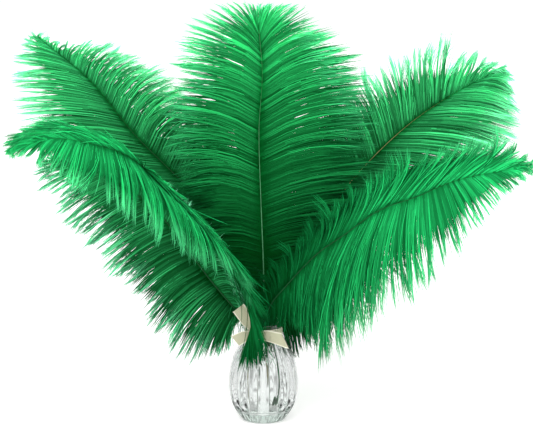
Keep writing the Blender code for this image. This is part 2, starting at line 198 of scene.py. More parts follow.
def stripes(tree: Tree, place: Socket, pitch: float, darkest: float) -> Socket:
    """Soft dark stripes across a place or direction, for what clear glass shows.

    Args:
        tree: The node tree.
        place: The place.
        pitch: The distance between stripes, in the place's unit.
        darkest: The value in the middle of a stripe. Between stripes it is 1.

    Returns:
        The stripes' value.
    """
    wave = computed(tree, "COSINE", computed(tree, "MULTIPLY", place, math.tau / pitch))
    return ranged(tree, wave, (-1.0, 0.0), (darkest, 1.0))


def new_material(name: str) -> tuple[bpy.types.Material, Tree, bpy.types.Node]:
    """Makes a node material.

    Args:
        name: The real material's name.

    Returns:
        The material, its node tree and its Principled shader.
    """
    material = bpy.data.materials.new(name)
    material.use_nodes = True
    return material, material.node_tree, material.node_tree.nodes["Principled BSDF"]


def deselect_all() -> None:
    """Leaves nothing selected, so that an operator reaches only what is added next."""
    if bpy.context.object and bpy.context.object.mode != "OBJECT":
        bpy.ops.object.mode_set(mode="OBJECT")
    bpy.ops.object.select_all(action="DESELECT")


def placed(name: str, data: bpy.types.ID) -> bpy.types.Object:
    """Makes an object of a mesh, light or camera and puts it in the scene.

    Args:
        name: The object's name.
        data: The mesh, light or camera.

    Returns:
        The object.
    """
    piece = bpy.data.objects.new(name, data)
    bpy.context.scene.collection.objects.link(piece)
    return piece


def apply_modifier(piece: bpy.types.Object, kind: str, **settings: float) -> None:
    """Adds a modifier to the active object and applies it.

    Args:
        piece: The active object.
        kind: The modifier's type.
        settings: Its properties and their values.
    """
    bpy.ops.object.modifier_add(type=kind)
    modifier = piece.modifiers[-1]
    for name, value in settings.items():
        setattr(modifier, name, value)
    bpy.ops.object.modifier_apply(modifier=modifier.name)


def dress(piece: bpy.types.Object, material: bpy.types.Material, slot: str, *nodes: str) -> None:
    """Gives a finished piece its material and body, and hides the CAD nodes that it replaces.

    Args:
        piece: The finished object, at the origin.
        material: Its material.
        slot: The record's material slot. Not used.
        nodes: Names of the CAD nodes that it replaces.
    """
    piece.data.materials.clear()
    piece.data.materials.append(material)
    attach(piece, BODY)
    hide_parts(*nodes)
    LOG.info("%s: %d faces", piece.name, len(piece.data.polygons))


def smooth_places(points: np.ndarray, values: np.ndarray) -> np.ndarray:
    """Places on a smooth curve through points.

    Args:
        points: The points, one a row.
        values: How far along, 0 to 1 by distance from point to point.

    Returns:
        One place a row.
    """
    steps = np.linalg.norm(np.diff(points, axis=0), axis=1)
    lengths = np.concatenate(([0.0], np.cumsum(steps)))
    distance = np.clip(values, 0.0, 1.0) * lengths[-1]
    span = np.clip(np.searchsorted(lengths, distance, side="right") - 1, 0, len(points) - 2)
    share = ((distance - lengths[span]) / steps[span])[:, None]
    low = np.maximum(np.arange(len(points)) - 1, 0)
    high = np.minimum(np.arange(len(points)) + 1, len(points) - 1)
    slopes = (points[high] - points[low]) / (lengths[high] - lengths[low])[:, None]
    reach = steps[span][:, None]
    square, cube = share**2, share**3
    return (
        points[span] * (2 * cube - 3 * square + 1)
        + slopes[span] * reach * (cube - 2 * square + share)
        + points[span + 1] * (3 * square - 2 * cube)
        + slopes[span + 1] * reach * (cube - square)
    )


def unit(vectors: np.ndarray) -> np.ndarray:
    """Vectors of the same direction and length 1, along the last axis."""
    return vectors / np.maximum(np.linalg.norm(vectors, axis=-1, keepdims=True), 1e-12)


def turned(vectors: np.ndarray, angles: np.ndarray) -> np.ndarray:
    """Vectors turned in the upright plane that faces the front.

    Args:
        vectors: One a row.
        angles: In radians, one a vector.

    Returns:
        The turned vectors.
    """
    cos, sin = np.cos(angles), np.sin(angles)
    x, z = vectors[:, 0], vectors[:, 2]
    return np.stack([x * cos - z * sin, vectors[:, 1], x * sin + z * cos], axis=-1)


def bent_lines(
    roots: np.ndarray, start: np.ndarray, end: np.ndarray, reach: np.ndarray, shares: np.ndarray
) -> np.ndarray:
    """Lines that bend evenly from their start to their end direction.

    Args:
        roots: Where they start, one a row.
        start: Their directions there.
        end: Their directions at the tip.
        reach: Their lengths.
        shares: Shares of a line's length at which its rings stand.

    Returns:
        Places as line, ring, xyz.
    """
    bend = (shares - shares**2 / 2)[None, :, None]
    curl = (shares**2 / 2)[None, :, None]
    return roots[:, None] + (start[:, None] * bend + end[:, None] * curl) * reach[:, None, None]


# ---------------------------------------------------------------- finishes


@dataclass(frozen=True)
class DyedBarbs:
    """Ostrich barbs after an acid dye bath: matt, a little deeper at the root and lighter where they thin out, with
    painted shade where they leave the shaft.

    Values are shares of the dye's full colour: painted shade at the plume's foot and painted light from full_at
    upwards, painted shade between tufts and painted highlights along their ridges, painted shade next to the shaft, and
    the dullest and the brightest barb.
    """

    root: str
    middle: str
    tip: str
    shadow: str = "#00360A"
    sheen: str = "#30F090"
    foot_shade_value: float = 0.2
    full_at: float = 0.8
    top_light_value: float = 1.1
    between_tufts_shade: float = 0.45
    ridge_highlight: float = 1.2
    shaft_shade_value: float = 0.6
    dull: float = 0.42
    bright: float = 1.55
    roughness: float = 0.5

    def material(self, name: str, tufts: int) -> bpy.types.Material:
        """Makes the material. The barb map runs across the vane's barbs and up each barb.

        Args:
            name: The material's name.
            tufts: How many tufts stand on each side of the vane.

        Returns:
            The material.
        """
        material, tree, shader = new_material(name)
        _, across, up = own_map(tree)
        dye = ramped(tree, up, [(0.0, self.root), (0.07, self.middle), (0.55, self.middle), (1.0, self.tip)])
        # Painted highlight and painted shade: each tuft is bright along its middle and dark where it meets the next
        # one, less so at its tip.
        ridge = computed(tree, "PINGPONG", computed(tree, "MULTIPLY", across, 2.0 * tufts), 0.5)
        painted_tuft_shading = ranged(tree, ridge, (0.1, 0.34), (self.between_tufts_shade, self.ridge_highlight))
        outer = ranged(tree, up, (0.6, 0.95), (0.0, 0.85))
        painted_tuft_shading = mixed(tree, "FLOAT", outer, painted_tuft_shading, self.ridge_highlight)
        # Each barb took the dye a little differently: one even tone a cell, BARB_CELLS of them across the map.
        cell = computed(tree, "FLOOR", computed(tree, "MULTIPLY", across, BARB_CELLS))
        noise = add_node(tree, "ShaderNodeTexWhiteNoise", {"noise_dimensions": "1D"}, {"W": cell})
        light = ranged(tree, noise.outputs["Value"], (0.0, 1.0), (self.dull, self.bright))
        # The two sides of the vane fill half of the map each. Both get painted shade low in the plume and painted light
        # upwards.
        place = computed(tree, "FRACT", computed(tree, "MULTIPLY", across, 2.0))
        foot_shade_and_top_light = ranged(tree, place, (0.0, self.full_at), (self.foot_shade_value, self.top_light_value), "SMOOTHSTEP")
        # Painted shade: barbs are darkest where they leave the shaft.
        shade = ranged(tree, up, (0.0, 0.5), (self.shaft_shade_value, 1.0))
        # Painted shade and light: the random tone times the painted values; below 1 it mixes the dye towards the shadow
        # colour, above 1 past the dye.
        for part in (foot_shade_and_top_light, shade, painted_tuft_shading):
            light = computed(tree, "MULTIPLY", light, part)
        colour = mixed(tree, "RGBA", light, linear(self.shadow), dye, clamp_factor=False, clamp_result=False)
        plug(tree, shader, {
            "Base Color": colour, "Roughness": self.roughness, "Specular IOR Level": 0.06,
            "Specular Tint": linear(self.sheen),
        })
        return material


@dataclass(frozen=True)
class Quill:
    """The shaft's horn: smooth, stained by the dye, with another tone along its ridge."""

    stain: str
    ridge: str
    roughness: float = 0.35
    grain: tuple[float, float, float] = (3.0, 60.0, 1.0)

    def material(self, name: str) -> bpy.types.Material:
        """Makes the material. The shaft's map runs round it and up it.

        Args:
            name: The material's name.

        Returns:
            The material.
        """
        material, tree, shader = new_material(name)
        vector, across, _ = own_map(tree)
        # The horn's fine grain frays the line between the stained sides and the ridge.
        drawn = add_node(tree, "ShaderNodeVectorMath", {"operation": "MULTIPLY"}, {0: vector, 1: self.grain})
        grain = add_node(
            tree, "ShaderNodeTexNoise", {"noise_dimensions": "2D"},
            {"Vector": drawn.outputs["Vector"], "Scale": 1.0, "Detail": 2.0},
        )
        edge = computed(tree, "PINGPONG", across, 0.5)
        height = computed(tree, "MULTIPLY_ADD", grain.outputs["Fac"], 0.35, edge)
        horn = ramped(tree, height, [(0.0, self.stain), (0.42, self.stain), (0.62, self.ridge), (1.0, self.ridge)])
        plug(tree, shader, {"Base Color": horn, "Roughness": self.roughness, "Specular IOR Level": 0.2})
        return material


@dataclass(frozen=True)
class PressedGlass:
    """Soda-lime glass pressed in a mould: clear, a little wavy, with a faint green tint in its depth."""

    colour: str = "#FCFEFD"
    roughness: float = 0.015
    index: float = 1.5
    wave_mm: float = 4.0
    wave_height_mm: float = 0.13
    wave_draw: tuple[float, float, float] = (1.0, 1.0, 0.3)
    depth_colour: str = "#C8DCD2"
    depth_density: float = 22.0

    def material(self, name: str) -> bpy.types.Material:
        """Makes the material.

        Args:
            name: The material's name.

        Returns:
            The material.
        """
        material, tree, shader = new_material(name)
        place = add_node(tree, "ShaderNodeTexCoord").outputs["Object"]
        # The mould leaves low waves, drawn out upwards, which bend what is seen through the glass.
        drawn = add_node(tree, "ShaderNodeVectorMath", {"operation": "MULTIPLY"}, {0: place, 1: self.wave_draw})
        wave = add_node(
            tree, "ShaderNodeTexNoise",
            inputs={"Vector": drawn.outputs["Vector"], "Scale": 1 / (self.wave_mm * MM), "Detail": 1.0},
        )
        bump = add_node(
            tree, "ShaderNodeBump",
            inputs={"Height": wave.outputs["Fac"], "Distance": self.wave_height_mm * MM, "Strength": 1.0},
        )
        plug(tree, shader, {
            "Base Color": linear(self.colour), "Roughness": self.roughness, "IOR": self.index,
            "Transmission Weight": 1.0, "Normal": bump.outputs["Normal"],
        })
        # The thick bottom looks greener than the thin wall.
        depth = add_node(
            tree, "ShaderNodeVolumeAbsorption",
            inputs={"Color": linear(self.depth_colour), "Density": self.depth_density},
        )
        plug(tree, tree.nodes["Material Output"], {"Volume": depth.outputs["Volume"]})
        return material


@dataclass(frozen=True)
class WovenRibbon:
    """Polyester grosgrain, loom-woven: fine ribs across it, a dull sheen, and a painted highlight along both edges."""

    ground: str = "#D3D2B4"
    shade: str = "#9C9A7C"
    # The edge colour is the painted highlight along both edges.
    edge: str = "#F2F0DC"
    rib_mm: float = 1.2
    rib_height_mm: float = 0.05

    def material(self, name: str, width_mm: float, length_mm: float) -> bpy.types.Material:
        """Makes the material. The ribbon's map runs from edge to edge and along the ribbon.

        Args:
            name: The material's name.
            width_mm: The ribbon's width.
            length_mm: The ribbon's length.

        Returns:
            The material.
        """
        material, tree, shader = new_material(name)
        _, across, up = own_map(tree)
        # Real ribs stand 0.4 mm apart. They are drawn coarser, so that they show. The weave's darker tone is painted
        # shade in its grooves.
        rib, warp = (
            computed(tree, "SINE", computed(tree, "MULTIPLY", part, run / self.rib_mm * math.tau))
            for part, run in ((up, length_mm), (across, width_mm))
        )
        weave = computed(tree, "MULTIPLY_ADD", rib, warp, rib)
        tone = ranged(tree, weave, (-2.0, 2.0), (0.0, 1.0))
        cloth = mixed(tree, "RGBA", tone, linear(self.shade), linear(self.ground))
        # Painted highlight: a paler line along both edges.
        painted_edge_highlight = ranged(tree, computed(tree, "PINGPONG", across, 0.5), (0.03, 0.09), (1.0, 0.0))
        edged = mixed(tree, "RGBA", painted_edge_highlight, cloth, linear(self.edge))
        bump = add_node(
            tree, "ShaderNodeBump",
            inputs={"Height": weave, "Distance": self.rib_height_mm * MM, "Strength": 0.6},
        )
        plug(tree, shader, {
            "Base Color": edged, "Normal": bump.outputs["Normal"], "Roughness": 0.5, "Sheen Weight": 0.3,
        })
        return material


@dataclass(frozen=True)
class PaleBoard:
    """Matt painted board under the object, lit a little from below like a light table."""

    colour: str = "#FBFBFA"
    mottle: str = "#FDFDFC"
    glow: float = 0.3
    card_pitch: float = 0.022
    card_light: float = 0.42

    def material(self, name: str) -> bpy.types.Material:
        """Makes the material, with the faintest mottling of rolled paint.

        Args:
            name: The material's name.

        Returns:
            The material.
        """
        material, tree, shader = new_material(name)
        place = add_node(tree, "ShaderNodeTexCoord").outputs["Object"]
        noise = add_node(tree, "ShaderNodeTexNoise", inputs={"Vector": place, "Scale": 3.0})
        paint = ramped(tree, noise.outputs["Fac"], [(0.0, self.colour), (1.0, self.mottle)])
        plug(tree, shader, {
            "Base Color": paint, "Roughness": 0.9, "Emission Color": linear(self.colour),
            "Emission Strength": self.glow,
        })
        # Seen through the glass, the board shows soft stripes, as of cards laid out for a photograph of glass.
        parts = add_node(tree, "ShaderNodeSeparateXYZ", inputs={"Vector": place})
        cards = stripes(tree, parts.outputs["X"], self.card_pitch, self.card_light)
        glow = add_node(tree, "ShaderNodeEmission", inputs={"Strength": cards})
        through = add_node(tree, "ShaderNodeLightPath").outputs["Is Transmission Ray"]
        seen = add_node(
            tree, "ShaderNodeMixShader", inputs={0: through, 1: shader.outputs["BSDF"], 2: glow.outputs["Emission"]}
        )
        plug(tree, tree.nodes["Material Output"], {"Surface": seen.outputs[0]})
        return material


# ---------------------------------------------------------------- plumes


class Side(Enum):
    """The two sides of a vane, seen from the front with the feather's tip up."""

    LEFT = -1
    RIGHT = 1


@dataclass(frozen=True)
class Gathering:
    """How the barbs of one side hang together: in tufts of a few barbs, and these in locks.

    Lengths are in millimetres and turns in degrees. Pairs hold for the lower and the upper part of the
    plume. A pinch of 1 brings all barbs of a tuft or lock together, and a high lock power only does so
    at the tips. Strays are the share of barbs that keep out of the tufts. The under layer stands between
    and behind the tufts, and its reach is a share of the barbs' length. A cut is how much shorter barbs
    may be: by lock and tuft, towards a tuft's edges, and one by one. Depth is how far locks stand before
    and behind the vane at their tips. The hook is how far tips bend aside, away from the shaft's tip if
    positive. The tone's reach is how light the tips are. Barbs root at a share of the shaft's radius to
    their own side. Below 0 they start on the other side and cross the shaft in front.
    """

    root_pinch: float = 0.4
    tip_pinch: float = 0.97
    strays: float = 0.08
    under_reach: tuple[float, float] = (0.8, 0.8)
    tuft_turn: float = 1.6
    lock_width: float = 8.0
    pinch: float = 0.3
    lock_power: float = 4.0
    lock_turn: float = 1.2
    barb_turn: float = 0.9
    lock_cut: float = 0.05
    edge_cut: float = 0.2
    barb_cut: float = 0.05
    depth: float = 5.0
    splay: float = 0.2
    hook: float = 0.0
    hook_spread: float = 2.5
    tone_reach: tuple[float, float] = (1.0, 1.0)
    root_at: tuple[float, float] = (0.7, 0.7)


@dataclass(frozen=True)
class Plume:
    """One feather: its shaft's route from foot to tip, and the barbs on either side of it.

    Lengths are in millimetres. Barbs start where the shaft is at the height barbs_from. Each row of left
    and right says how they lie at one place: the place, 0 at the lowest barbs and 1 at the tip, the
    angles at which a barb starts and ends, how far its start leans to the front, and its length. The curl
    is how far the ends lean to the front at the tip.
    """

    node: str
    slot: str
    seed: int
    tufts: int
    barbs_from: float
    curl: float
    barbs: DyedBarbs
    quill: Quill
    route: Rows
    left: Rows
    right: Rows
    left_gathering: Gathering = Gathering()
    right_gathering: Gathering = Gathering()


# The vase's outside as height and radius, its wall, and the ribbon's band round its neck. Barbs keep clear of them.
VASE_OUTSIDE = ((0, 19.0), (2.5, 21.0), (14, 27.7), (33, 31.0), (53, 28.4), (68, 20.8), (78, 15.4), (86, 17.2))
VASE_WALL = 2.2
NECK_RADIUS = 15.6
BAND_HEIGHT = 78.8
STEM_FOOT_HEIGHT = 9.7

# The dye presets differ in tone and in their painted shade and light at the foot, the top and the shaft. LOW is the
# deep dye with flatter painted shade and light, for the low plume.
DEEP = DyedBarbs(
    root="#0A8A3A", middle="#38BA6C", tip="#84F4BA", foot_shade_value=0.05, full_at=0.7, top_light_value=1.38, between_tufts_shade=0.42,
    shaft_shade_value=0.4,
)
LOW = replace(DEEP, foot_shade_value=0.58, top_light_value=0.9, shaft_shade_value=0.5, dull=0.3, bright=1.6)
RICH = DyedBarbs(
    root="#0A8A3A", middle="#26AE5C", tip="#5CF0A0", foot_shade_value=0.0, full_at=0.95, top_light_value=1.3, between_tufts_shade=0.48,
)
BRIGHT = DyedBarbs(
    root="#16A654", middle="#22B864", tip="#6CF0A8", foot_shade_value=0.15, full_at=0.75, shaft_shade_value=0.9,
)
DARK_QUILL = Quill(stain="#0E6434", ridge="#04401A")
PALE_QUILL = Quill(stain="#0B4A20", ridge="#46845A")
TAN_QUILL = Quill(stain="#0C4E26", ridge="#8C8A58")

PLUMES = (
    Plume(
        node="feather_rear_centre", slot="rich_green_plume", seed=11, tufts=92, barbs_from=93.0, curl=0.5, barbs=RICH,
        quill=PALE_QUILL,
        route=(
            (7.5, 5.0, STEM_FOOT_HEIGHT), (4.5, 5.0, 45.0), (2.2, 5.0, 79.0), (0.5, 6.5, 114.0), (-0.4, 8.5, 146.0),
            (-2.2, 12.0, 191.0), (-3.9, 19.0, 254.0), (-1.0, 24.0, 302.0), (-3.0, 22.0, 331.0), (-4.5, 12.0, 345.0),
        ),
        left=(
            (0.00, 165, 235, 0.0, 44), (0.12, 160, 215, 0.0, 70), (0.35, 152, 200, 0.0, 88),
            (0.62, 146, 184, 0.0, 98), (0.76, 144, 178, 0.0, 97), (0.87, 138, 168, 0.0, 79),
            (0.95, 118, 138, 0.0, 46), (1.00, 92, 93, 0.0, 22),
        ),
        right=(
            (0.00, 15, -50, 0.0, 44), (0.12, 20, -25, 0.0, 76), (0.35, 24, -2, 0.0, 108), (0.62, 34, -2, 0.0, 116),
            (0.76, 38, 4, 0.0, 104), (0.87, 44, 10, 0.0, 72), (0.95, 64, 42, 0.0, 44), (1.00, 88, 87, 0.0, 22),
        ),
        left_gathering=Gathering(under_reach=(0.85, 0.7), tone_reach=(0.4, 1.0)),
        right_gathering=Gathering(under_reach=(1.0, 0.92), tone_reach=(0.4, 1.0)),
    ),
    Plume(
        node="feather_rear_left", slot="deep_green_plume", seed=12, tufts=112, barbs_from=96.0, curl=-0.45,
        barbs=DEEP, quill=DARK_QUILL,
        route=(
            (7.0, 10.2, STEM_FOOT_HEIGHT), (5.0, 10.6, 45.0), (1.0, 10.6, 79.0), (-4.0, 13.0, 104.0),
            (-18.2, 22.0, 147.0), (-47.7, 33.0, 183.5), (-86.6, 46.0, 219.0), (-116.8, 56.0, 248.0),
            (-158.0, 68.0, 296.0), (-205.0, 79.0, 334.0),
        ),
        left=(
            (0.00, 205, 255, 0.0, 28), (0.20, 195, 235, 0.0, 66), (0.42, 175, 202, 0.0, 112),
            (0.58, 168, 192, 0.0, 116), (0.70, 165, 190, 0.0, 106), (0.82, 161, 185, 0.0, 80),
            (0.92, 156, 178, 0.0, 43), (1.00, 146, 152, 0.0, 7),
        ),
        right=(
            (0.00, 40, -30, 0.0, 30), (0.20, 60, -10, 0.0, 64), (0.42, 72, -2, 0.0, 83), (0.62, 74, 6, 0.0, 84),
            (0.78, 78, 14, 0.0, 60), (0.86, 84, 30, 0.0, 36), (0.92, 92, 50, 0.0, 12), (1.00, 130, 120, 0.0, 6),
        ),
        left_gathering=Gathering(lock_width=6.0, under_reach=(0.85, 0.65)),
        right_gathering=Gathering(lock_turn=3.0, tuft_turn=3.0, hook=3.0, hook_spread=4.0, under_reach=(1.0, 0.5)),
    ),
    Plume(
        node="feather_rear_right", slot="deep_green_plume", seed=13, tufts=100, barbs_from=94.0, curl=-0.45,
        barbs=DEEP, quill=TAN_QUILL,
        route=(
            (-8.0, 7.8, STEM_FOOT_HEIGHT), (-3.0, 7.8, 45.0), (6.5, 7.8, 79.0), (15.0, 9.6, 100.0),
            (29.7, 16.0, 135.0), (54.5, 24.0, 174.0), (79.7, 34.0, 209.5), (124.7, 46.0, 253.0), (166.0, 57.0, 281.0),
            (211.0, 67.0, 304.0),
        ),
        left=(
            (0.00, 135, 190, 0.0, 26), (0.20, 125, 165, 0.0, 64), (0.44, 106, 140, 0.0, 88),
            (0.60, 102, 122, 0.0, 80), (0.70, 96, 106, 0.0, 72), (0.81, 86, 80, 0.0, 64), (0.92, 66, 44, 0.0, 33),
            (1.00, 35, 15, 0.0, 14),
        ),
        right=(
            (0.00, -74, -90, 0.0, 50), (0.06, -60, -86, 0.0, 58), (0.12, -42, -82, 0.0, 76),
            (0.30, -12, -44, 0.0, 98), (0.55, 2, -24, 0.0, 120), (0.70, 6, -22, 0.0, 112), (0.82, 10, -34, 0.0, 86),
            (0.93, 14, -46, 0.0, 48), (1.00, 24, -20, 0.0, 14),
        ),
        left_gathering=Gathering(
            root_pinch=0.25, tuft_turn=4.0, lock_turn=5.0, barb_turn=1.8, strays=0.25, lock_cut=0.12, hook=-3.0,
            hook_spread=7.0, under_reach=(1.15, 0.3),
        ),
        right_gathering=Gathering(lock_width=6.0, under_reach=(1.0, 0.85)),
    ),
    Plume(
        node="feather_lower_left", slot="deep_green_plume", seed=14, tufts=118, barbs_from=95.0, curl=0.15, barbs=LOW,
        quill=DARK_QUILL,
        route=(
            (11.5, -3.6, STEM_FOOT_HEIGHT), (4.0, -3.6, 45.0), (-8.4, -3.6, 74.0), (-12.8, -3.8, 86.5),
            (-26.0, -5.0, 101.0), (-46.0, -7.0, 125.5), (-64.5, -9.0, 150.5), (-97.5, -12.5, 192.0),
            (-152.5, -15.0, 226.0), (-180.0, -16.0, 231.0),
        ),
        left=(
            (0.00, 240, 262, 0.0, 46), (0.07, 228, 250, 0.0, 74), (0.16, 210, 238, 0.0, 81),
            (0.38, 198, 226, 0.0, 80), (0.65, 200, 224, 0.0, 72), (0.88, 195, 218, 0.0, 50),
            (1.00, 175, 185, 0.0, 12),
        ),
        right=(
            (0.00, -20, -80, 0.0, 18), (0.15, 30, -50, 0.0, 36), (0.38, 60, 0, 0.0, 34), (0.65, 90, 50, 0.0, 24),
            (0.88, 125, 115, 0.0, 16), (1.00, 155, 150, 0.0, 8),
        ),
        left_gathering=Gathering(
            root_pinch=0.6, tip_pinch=0.98, lock_width=4.5, pinch=0.0, lock_turn=2.5, tuft_turn=3.0, barb_turn=1.5,
            strays=0.15, edge_cut=0.1, lock_cut=0.11, under_reach=(0.85, 0.4),
        ),
    ),
    Plume(
        node="feather_front_left", slot="bright_green_plume", seed=15, tufts=104, barbs_from=92.0, curl=0.35,
        barbs=BRIGHT, quill=DARK_QUILL,
        route=(
            (7.0, -6.6, STEM_FOOT_HEIGHT), (3.0, -6.8, 45.0), (-4.5, -6.9, 79.0), (-10.0, -9.0, 101.0),
            (-28.8, -16.0, 136.0), (-54.0, -27.0, 172.5), (-82.4, -42.0, 208.5), (-110.9, -55.0, 237.5),
            (-140.0, -66.0, 249.5), (-172.7, -76.0, 254.5), (-199.0, -83.0, 247.0),
        ),
        left=(
            (0.00, 318, 290, 0.4, 14), (0.10, 334, 292, 0.8, 36), (0.22, 338, 290, 0.9, 60),
            (0.36, 340, 284, 0.9, 82), (0.50, 332, 272, 0.8, 88), (0.64, 308, 266, 0.6, 74),
            (0.74, 284, 260, 0.3, 54), (0.84, 240, 252, 0.1, 36), (0.93, 208, 230, 0.1, 22),
            (1.00, 204, 220, 0.0, 12),
        ),
        right=(
            (0.00, -110, -106, 1.5, 58), (0.03, -90, -96, 1.5, 66), (0.06, -73, -87, 1.5, 76),
            (0.10, -58, -79, 1.4, 82), (0.14, -50, -72, 1.0, 74), (0.19, -44, -64, 0.7, 66),
            (0.30, -38, -56, 0.5, 74), (0.44, -36, -50, 0.4, 74), (0.52, -32, -46, 0.4, 56),
            (0.60, -28, -42, 0.4, 30), (0.61, 112, 130, 0.5, 12), (0.64, 116, 140, 0.6, 30),
            (0.67, 124, 160, 0.6, 46), (0.78, 134, 178, 0.4, 54), (0.92, 158, 206, 0.2, 36),
            (1.00, 196, 216, 0.0, 12),
        ),
        left_gathering=Gathering(
            lock_width=11.0, pinch=0.8, lock_power=1.6, lock_turn=5.0, tuft_turn=3.0, strays=0.12,
            under_reach=(0.6, 0.6), tone_reach=(0.7, 0.9), root_at=(-0.9, 0.7),
        ),
        right_gathering=Gathering(
            root_pinch=0.1, tip_pinch=0.6, tuft_turn=3.5, barb_turn=3.0, depth=3.0, strays=0.06, hook_spread=1.0,
            tone_reach=(0.5, 0.7), root_at=(-0.8, 0.7),
        ),
    ),
    Plume(
        node="feather_front_right", slot="bright_green_plume", seed=16, tufts=110, barbs_from=95.0, curl=0.35,
        barbs=BRIGHT, quill=DARK_QUILL,
        route=(
            (-5.0, -9.8, STEM_FOOT_HEIGHT), (-3.5, -10.0, 45.0), (-0.8, -10.1, 79.0), (5.7, -12.2, 103.5),
            (19.5, -16.5, 122.0), (44.9, -27.0, 151.0), (68.2, -36.0, 169.5), (97.5, -48.0, 192.5),
            (126.3, -58.0, 204.5), (157.8, -68.0, 219.5), (211.0, -80.0, 232.0),
        ),
        left=(
            (0.00, 105, 120, 0.1, 22), (0.20, 68, 80, 0.1, 44), (0.45, 60, 64, 0.1, 54), (0.70, 50, 50, 0.1, 58),
            (0.88, 36, 26, 0.1, 42), (1.00, 16, 8, 0.0, 10),
        ),
        right=(
            (0.00, -80, -80, 0.5, 8), (0.10, -96, -84, 0.4, 36), (0.20, -98, -78, 0.4, 58),
            (0.30, -114, -82, 0.3, 90), (0.42, -120, -78, 0.3, 132), (0.54, -118, -82, 0.3, 122),
            (0.66, -96, -78, 0.2, 88), (0.76, -66, -74, 0.2, 54), (0.86, -34, -50, 0.1, 30),
            (0.94, -18, -30, 0.1, 21), (1.00, -6, -12, 0.0, 11),
        ),
        left_gathering=Gathering(lock_turn=2.5, tuft_turn=3.0, hook=4.0, hook_spread=7.0, tone_reach=(0.45, 0.8)),
        right_gathering=Gathering(
            lock_width=10.0, pinch=0.65, lock_power=2.5, lock_turn=3.5, tuft_turn=3.5, barb_turn=1.8, strays=0.18,
            under_reach=(0.8, 0.6), tone_reach=(0.55, 0.95),
        ),
    ),
)


@dataclass
class StrandBundle:
    """Collects tapered strands of one cross-section and makes one closed mesh of them all."""

    sides: int
    points: list[np.ndarray] = field(default_factory=list)
    faces: list[np.ndarray] = field(default_factory=list)
    places: list[np.ndarray] = field(default_factory=list)
    count: int = 0

    def add(
        self, centres: np.ndarray, radii: np.ndarray, across: np.ndarray, along: np.ndarray,
        map_width: float = BARB_MAP_WIDTH, flatness: float = 1.0,
    ) -> None:
        """Adds strands that each run through rings and end in a point.

        Args:
            centres: Centre lines in mm, as strand, ring, xyz. The last one is the tip.
            radii: Ring radii in mm, as strand, ring, without the tip.
            across: Each strand's place across the map.
            along: The rings' and tip's places up the map, as strand, ring.
            map_width: A strand's width on the map.
            flatness: Thickness as a share of width.
        """
        strands, rings = radii.shape
        sides = self.sides
        tangents = unit(np.gradient(centres, axis=1))[:, :rings]
        sideways = unit(np.cross(tangents, FRONTWARDS) + 1e-9)
        outward = np.cross(sideways, tangents)
        angles = np.arange(sides) * math.tau / sides - math.pi / 2
        ring = (
            np.cos(angles)[:, None] * sideways[:, :, None, :]
            + flatness * np.sin(angles)[:, None] * outward[:, :, None, :]
        )
        hoops = centres[:, :rings, None, :] + ring * radii[:, :, None, None]
        points = np.concatenate([hoops.reshape(strands, -1, 3), centres[:, rings:]], axis=1)
        corner_ring, corner_side = self.corners(rings)
        at_tip = corner_ring == rings
        numbers = np.where(at_tip, rings * sides, corner_ring * sides + corner_side % sides)
        own = rings * sides + 1
        first = self.count + np.arange(strands)[:, None, None] * own
        self.faces.append((first + numbers).reshape(-1, 3))
        wide = across[:, None, None] + np.where(at_tip, 0.0, (corner_side / sides - 0.5) * map_width)
        self.places.append(np.stack([wide, along[:, corner_ring]], axis=-1).reshape(-1, 2))
        self.points.append(points.reshape(-1, 3))
        self.count += strands * own

    def corners(self, rings: int) -> tuple[np.ndarray, np.ndarray]:
        """Ring and side numbers of the three corners of each face of one strand.

        Args:
            rings: How many rings the strand has.

        Returns:
            Two arrays of face, corner. A side number equal to the number of sides is the seam.
        """
        faces = []
        for ring in range(rings - 1):
            for side in range(self.sides):
                faces.append(((ring, side), (ring, side + 1), (ring + 1, side + 1)))
                faces.append(((ring, side), (ring + 1, side + 1), (ring + 1, side)))
        faces += [((rings - 1, side), (rings - 1, side + 1), (rings, side)) for side in range(self.sides)]
        faces += [((0, 0), (0, side + 1), (0, side)) for side in range(1, self.sides - 1)]
        table = np.array(faces)
        return table[..., 0], table[..., 1]

    def to_object(self, name: str) -> bpy.types.Object:
        """Makes the mesh object, in metres, with its map.

        Args:
            name: The object's name.

        Returns:
            The object, in the scene.
        """
        points = np.concatenate(self.points) * MM
        faces = np.concatenate(self.faces)
        mesh = bpy.data.meshes.new(name)
        mesh.vertices.add(len(points))
        mesh.vertices.foreach_set("co", points.ravel())
        mesh.loops.add(faces.size)
        mesh.loops.foreach_set("vertex_index", faces.astype(np.int32).ravel())
        mesh.polygons.add(len(faces))
        mesh.polygons.foreach_set("loop_start", np.arange(0, faces.size, 3, dtype=np.int32))
        mesh.update(calc_edges=True)
        layer = mesh.uv_layers.new(name=OWN_MAP)
        layer.uv.foreach_set("vector", np.concatenate(self.places).astype(np.float32).ravel())
        mesh.validate()
        mesh.shade_smooth()
        return placed(name, mesh)


